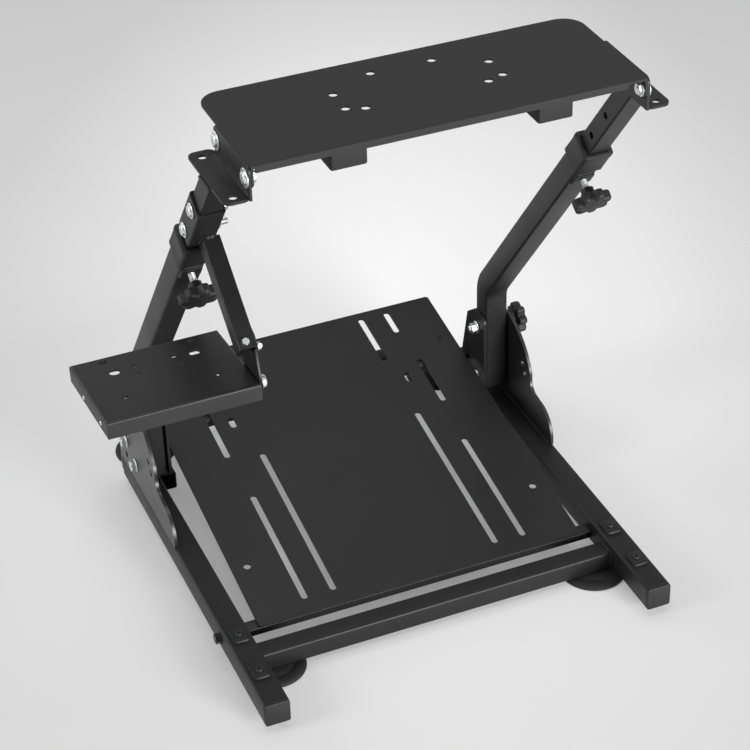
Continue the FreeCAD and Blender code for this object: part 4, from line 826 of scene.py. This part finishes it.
def head_welds():
    """Seams under the brackets, round each inner tube's level end, and round the arm's root."""
    beads = []
    tilted = SLIM_SIDE / 2 / math.cos(LEAN)
    for name, _ in SIDES:
        low, high = corners(f"upright_inner_{name}")
        x = (low[0] + high[0]) / 2
        y = low[1] + tilted
        half = SLIM_SIDE / 2
        ring = [np.array([x + across * half, y + back * tilted, high[2] - 0.0004])
                for across, back in ((-1, -1), (1, -1), (1, 1), (-1, 1))]
        beads += bead_round(ring, SEAM_RADIUS, UP)
    left = corners("shifter_arm")[0][0]
    sleeve_low, sleeve_high = corners("shifter_sleeve")
    half = (sleeve_high[0] - sleeve_low[0]) / 2
    right = sleeve_high[0] - 0.001
    root = [lean_point(x, along, -half)
            for x, along in ((left, ARM_TOP - 0.014), (left, ARM_TOP), (right, ARM_TOP))]
    beads.append(weld_bead(root[0], root[1], 0.0026, LEAN_BACK))
    beads.append(weld_bead(root[1], root[2], 0.0040, LEAN_BACK))
    piece("head_weld_seams", beads, COAT, "head")


# Small bolts of the shifter mount

def tab_bolts():
    """The tab's bolts: a nut and a low head on its right side, and a hexagon on the arm's upper face."""
    face = corners("shifter_tab")[1][0]
    nut = lean_point(face, ARM_TOP - 0.016, -0.137)
    head = np.array([face, -0.213, 0.424])
    seat = lean_point(middle("shifter_arm")[0] - 0.0015, ARM_TOP, -0.135)
    parts = [
        placed(washer(0.003, 0.0050, 0.001), nut, ACROSS, UP),
        placed(hex_head(0.0072, 0.0034, True), nut + ACROSS * 0.001, ACROSS, UP),
        placed(thread(0.0024, 0.0060, 0.001), nut, ACROSS, UP),
        placed(washer(0.003, 0.0075, 0.0012), head, ACROSS, UP),
        placed(button_head(0.0068, 0.0042, 0.004), head + ACROSS * 0.0012, ACROSS, UP),
        placed(hex_head(0.0070, 0.0040), seat, LEAN_UP, ACROSS),
    ]
    piece("tab_bolt_set", parts, ZINC, "head")
    side = corners("shifter_plate")[0][0]
    screws = [placed(button_head(0.0024, 0.0010, 0.0012), (side, y, z), -ACROSS, UP)
              for y, z in ((-0.1397, 0.4070), (-0.2013, 0.4146))]
    piece("flange_screw_heads", screws, ZINC, "head")


# Stage

def studio_floor():
    """A pale paper floor with a painted pool of light: its colour is brightest at an oval's middle and
    darkens outwards.

    To the camera and in reflections part of the floor is painted glow in the paper's tone, which lightens the
    shadows on it.
    """
    size = 9.0
    mesh = bpy.data.meshes.new("studio_floor")
    square = [(-size, -size, 0), (size, -size, 0), (size, size, 0), (-size, size, 0)]
    mesh.from_pydata(square, [], [(0, 1, 2, 3)])
    floor = bpy.data.objects.new("studio_floor", mesh)
    bpy.context.scene.collection.objects.link(floor)
    material, tree, shader, place = new_material("matte_paper_floor")
    # Painted pool of light: the floor's colour falls from bright in the oval's middle to darker at its edges,
    # as the lamps' light would.
    oval = add_node(tree, "ShaderNodeMapping",
                    {"Location": (0.244, 0.523, 0.0), "Rotation": (0.0, 0.0, -0.4013),
                     "Scale": (0.470, 0.945, 1.0)}, {"Vector": place}, vector_type="TEXTURE")
    reach = add_node(tree, "ShaderNodeVectorMath", links={0: oval.outputs["Vector"]}, operation="LENGTH")
    share = add_node(tree, "ShaderNodeMath", {1: 0.5}, {0: reach.outputs["Value"]}, operation="MULTIPLY")
    ramp = add_node(tree, "ShaderNodeValToRGB", links={"Fac": share.outputs["Value"]})
    painted_pool_tones = ((0.0, "#fafafa"), (0.385, "#eaeaea"), (0.5, "#e1e1e1"), (0.665, "#d5d5d5"),
             (1.0, "#d2d2d2"))
    for spot, _ in painted_pool_tones[1:-1]:
        ramp.color_ramp.elements.new(spot)
    for stop, (spot, tone) in zip(ramp.color_ramp.elements, painted_pool_tones):
        stop.position = spot
        stop.color = linear(tone)
    tree.links.new(ramp.outputs["Color"], shader.inputs["Base Color"])
    shader.inputs["Roughness"].default_value = 0.9
    shader.inputs["Specular IOR Level"].default_value = 0.0
    # Painted glow: the floor gives off light in its own tone to camera, glossy and transmission rays, which
    # lightens its shadows.
    glow = add_node(tree, "ShaderNodeEmission", {"Strength": 1.0}, {"Color": ramp.outputs["Color"]})
    rays = add_node(tree, "ShaderNodeLightPath")
    seen = add_node(tree, "ShaderNodeMath", operation="MAXIMUM",
                    links={0: rays.outputs["Is Camera Ray"], 1: rays.outputs["Is Glossy Ray"]})
    clear = add_node(tree, "ShaderNodeMath", operation="MAXIMUM",
                     links={0: seen.outputs["Value"], 1: rays.outputs["Is Transmission Ray"]})
    part = add_node(tree, "ShaderNodeMath", {1: FLOOR_GLOW}, {0: clear.outputs["Value"]},
                    operation="MULTIPLY")
    mixed = add_node(tree, "ShaderNodeMixShader",
                     links={0: part.outputs["Value"], 1: shader.outputs["BSDF"], 2: glow.outputs["Emission"]})
    output = next(item for item in tree.nodes if item.type == "OUTPUT_MATERIAL")
    tree.links.new(mixed.outputs["Shader"], output.inputs["Surface"])
    mesh.materials.append(material)


def studio_lights():
    """A sky that is brightest at the horizon, like a paper sweep, and four soft lamps.

    The front and rim lamps stand low, where only the tubes' rounded corners and the sheets' edges
    mirror them. The camera sees a plain grey sky, which lies nearer to the floor's own tone.
    """
    world = bpy.data.worlds.new("studio_sky")
    world.use_nodes = True
    tree = world.node_tree
    background = next(item for item in tree.nodes if item.type == "BACKGROUND")
    way = add_node(tree, "ShaderNodeTexCoord").outputs["Generated"]
    height = add_node(tree, "ShaderNodeSeparateXYZ", links={"Vector": way}).outputs["Z"]
    level = add_node(tree, "ShaderNodeMapRange",
                     {"From Min": 0.10, "From Max": 0.45, "To Min": 0.92, "To Max": 0.37},
                     {"Value": height}, interpolation_type="SMOOTHSTEP")
    background.inputs["Color"].default_value = linear("#f2f2f2")
    seen = add_node(tree, "ShaderNodeLightPath").outputs["Is Camera Ray"]
    shown = add_node(tree, "ShaderNodeMapRange", {"To Max": 0.55},
                     {"Value": seen, "To Min": level.outputs["Result"]})
    tree.links.new(shown.outputs["Result"], background.inputs["Strength"])
    bpy.context.scene.world = world
    target = Vector((0, 0, 0.3))
    lamps = (
        ("front_softbox", (1.2, -3.7, 1.0), 1.4, 182.0),
        ("left_softbox", (-3.5, -0.1, 1.9), 1.2, 46.0),
        ("rim_softbox", (-2.3, 3.1, 1.6), 1.3, 16.0),
        ("top_softbox", (0.0, 0.3, 3.4), 2.6, 41.0),
    )
    for name, spot, side, power in lamps:
        light = bpy.data.lights.new(name, "AREA")
        light.shape = "SQUARE"
        light.size = side
        light.energy = power
        lamp = bpy.data.objects.new(name, light)
        lamp.location = spot
        lamp.rotation_euler = (target - Vector(spot)).to_track_quat("-Z", "Y").to_euler()
        bpy.context.scene.collection.objects.link(lamp)


def camera():
    """The photograph's view: place, direction and lens found from the tubes' edges."""
    data = bpy.data.cameras.new("photo_camera")
    data.sensor_width = 36.0
    data.lens = 108.85
    made = bpy.data.objects.new("photo_camera", data)
    right = Vector((0.9203, -0.3905, -0.0240)).normalized()
    forward = Vector((0.3098, 0.7649, -0.5648)).normalized()
    up = right.cross(forward).normalized()
    turn = Matrix((right, up, -forward)).transposed().to_4x4()
    made.matrix_world = Matrix.Translation((-0.8261, -2.0419, 1.7457)) @ turn
    bpy.context.scene.collection.objects.link(made)
    bpy.context.scene.camera = made


base()
feet()
rail_pads()
fork_plates()
base_bolts()
fold_knobs()
uprights()
height_knobs()
head()
head_bolts()
shifter_mount()
tab_bolts()
pedals()
base_welds()
upright_welds()
head_welds()
studio_floor()
studio_lights()
camera()
bpy.context.scene.view_settings.view_transform = "Standard"

for node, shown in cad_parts.items():
    if not shown.hide_render:
        shown.data.materials.clear()
        shown.data.materials.append(COAT)
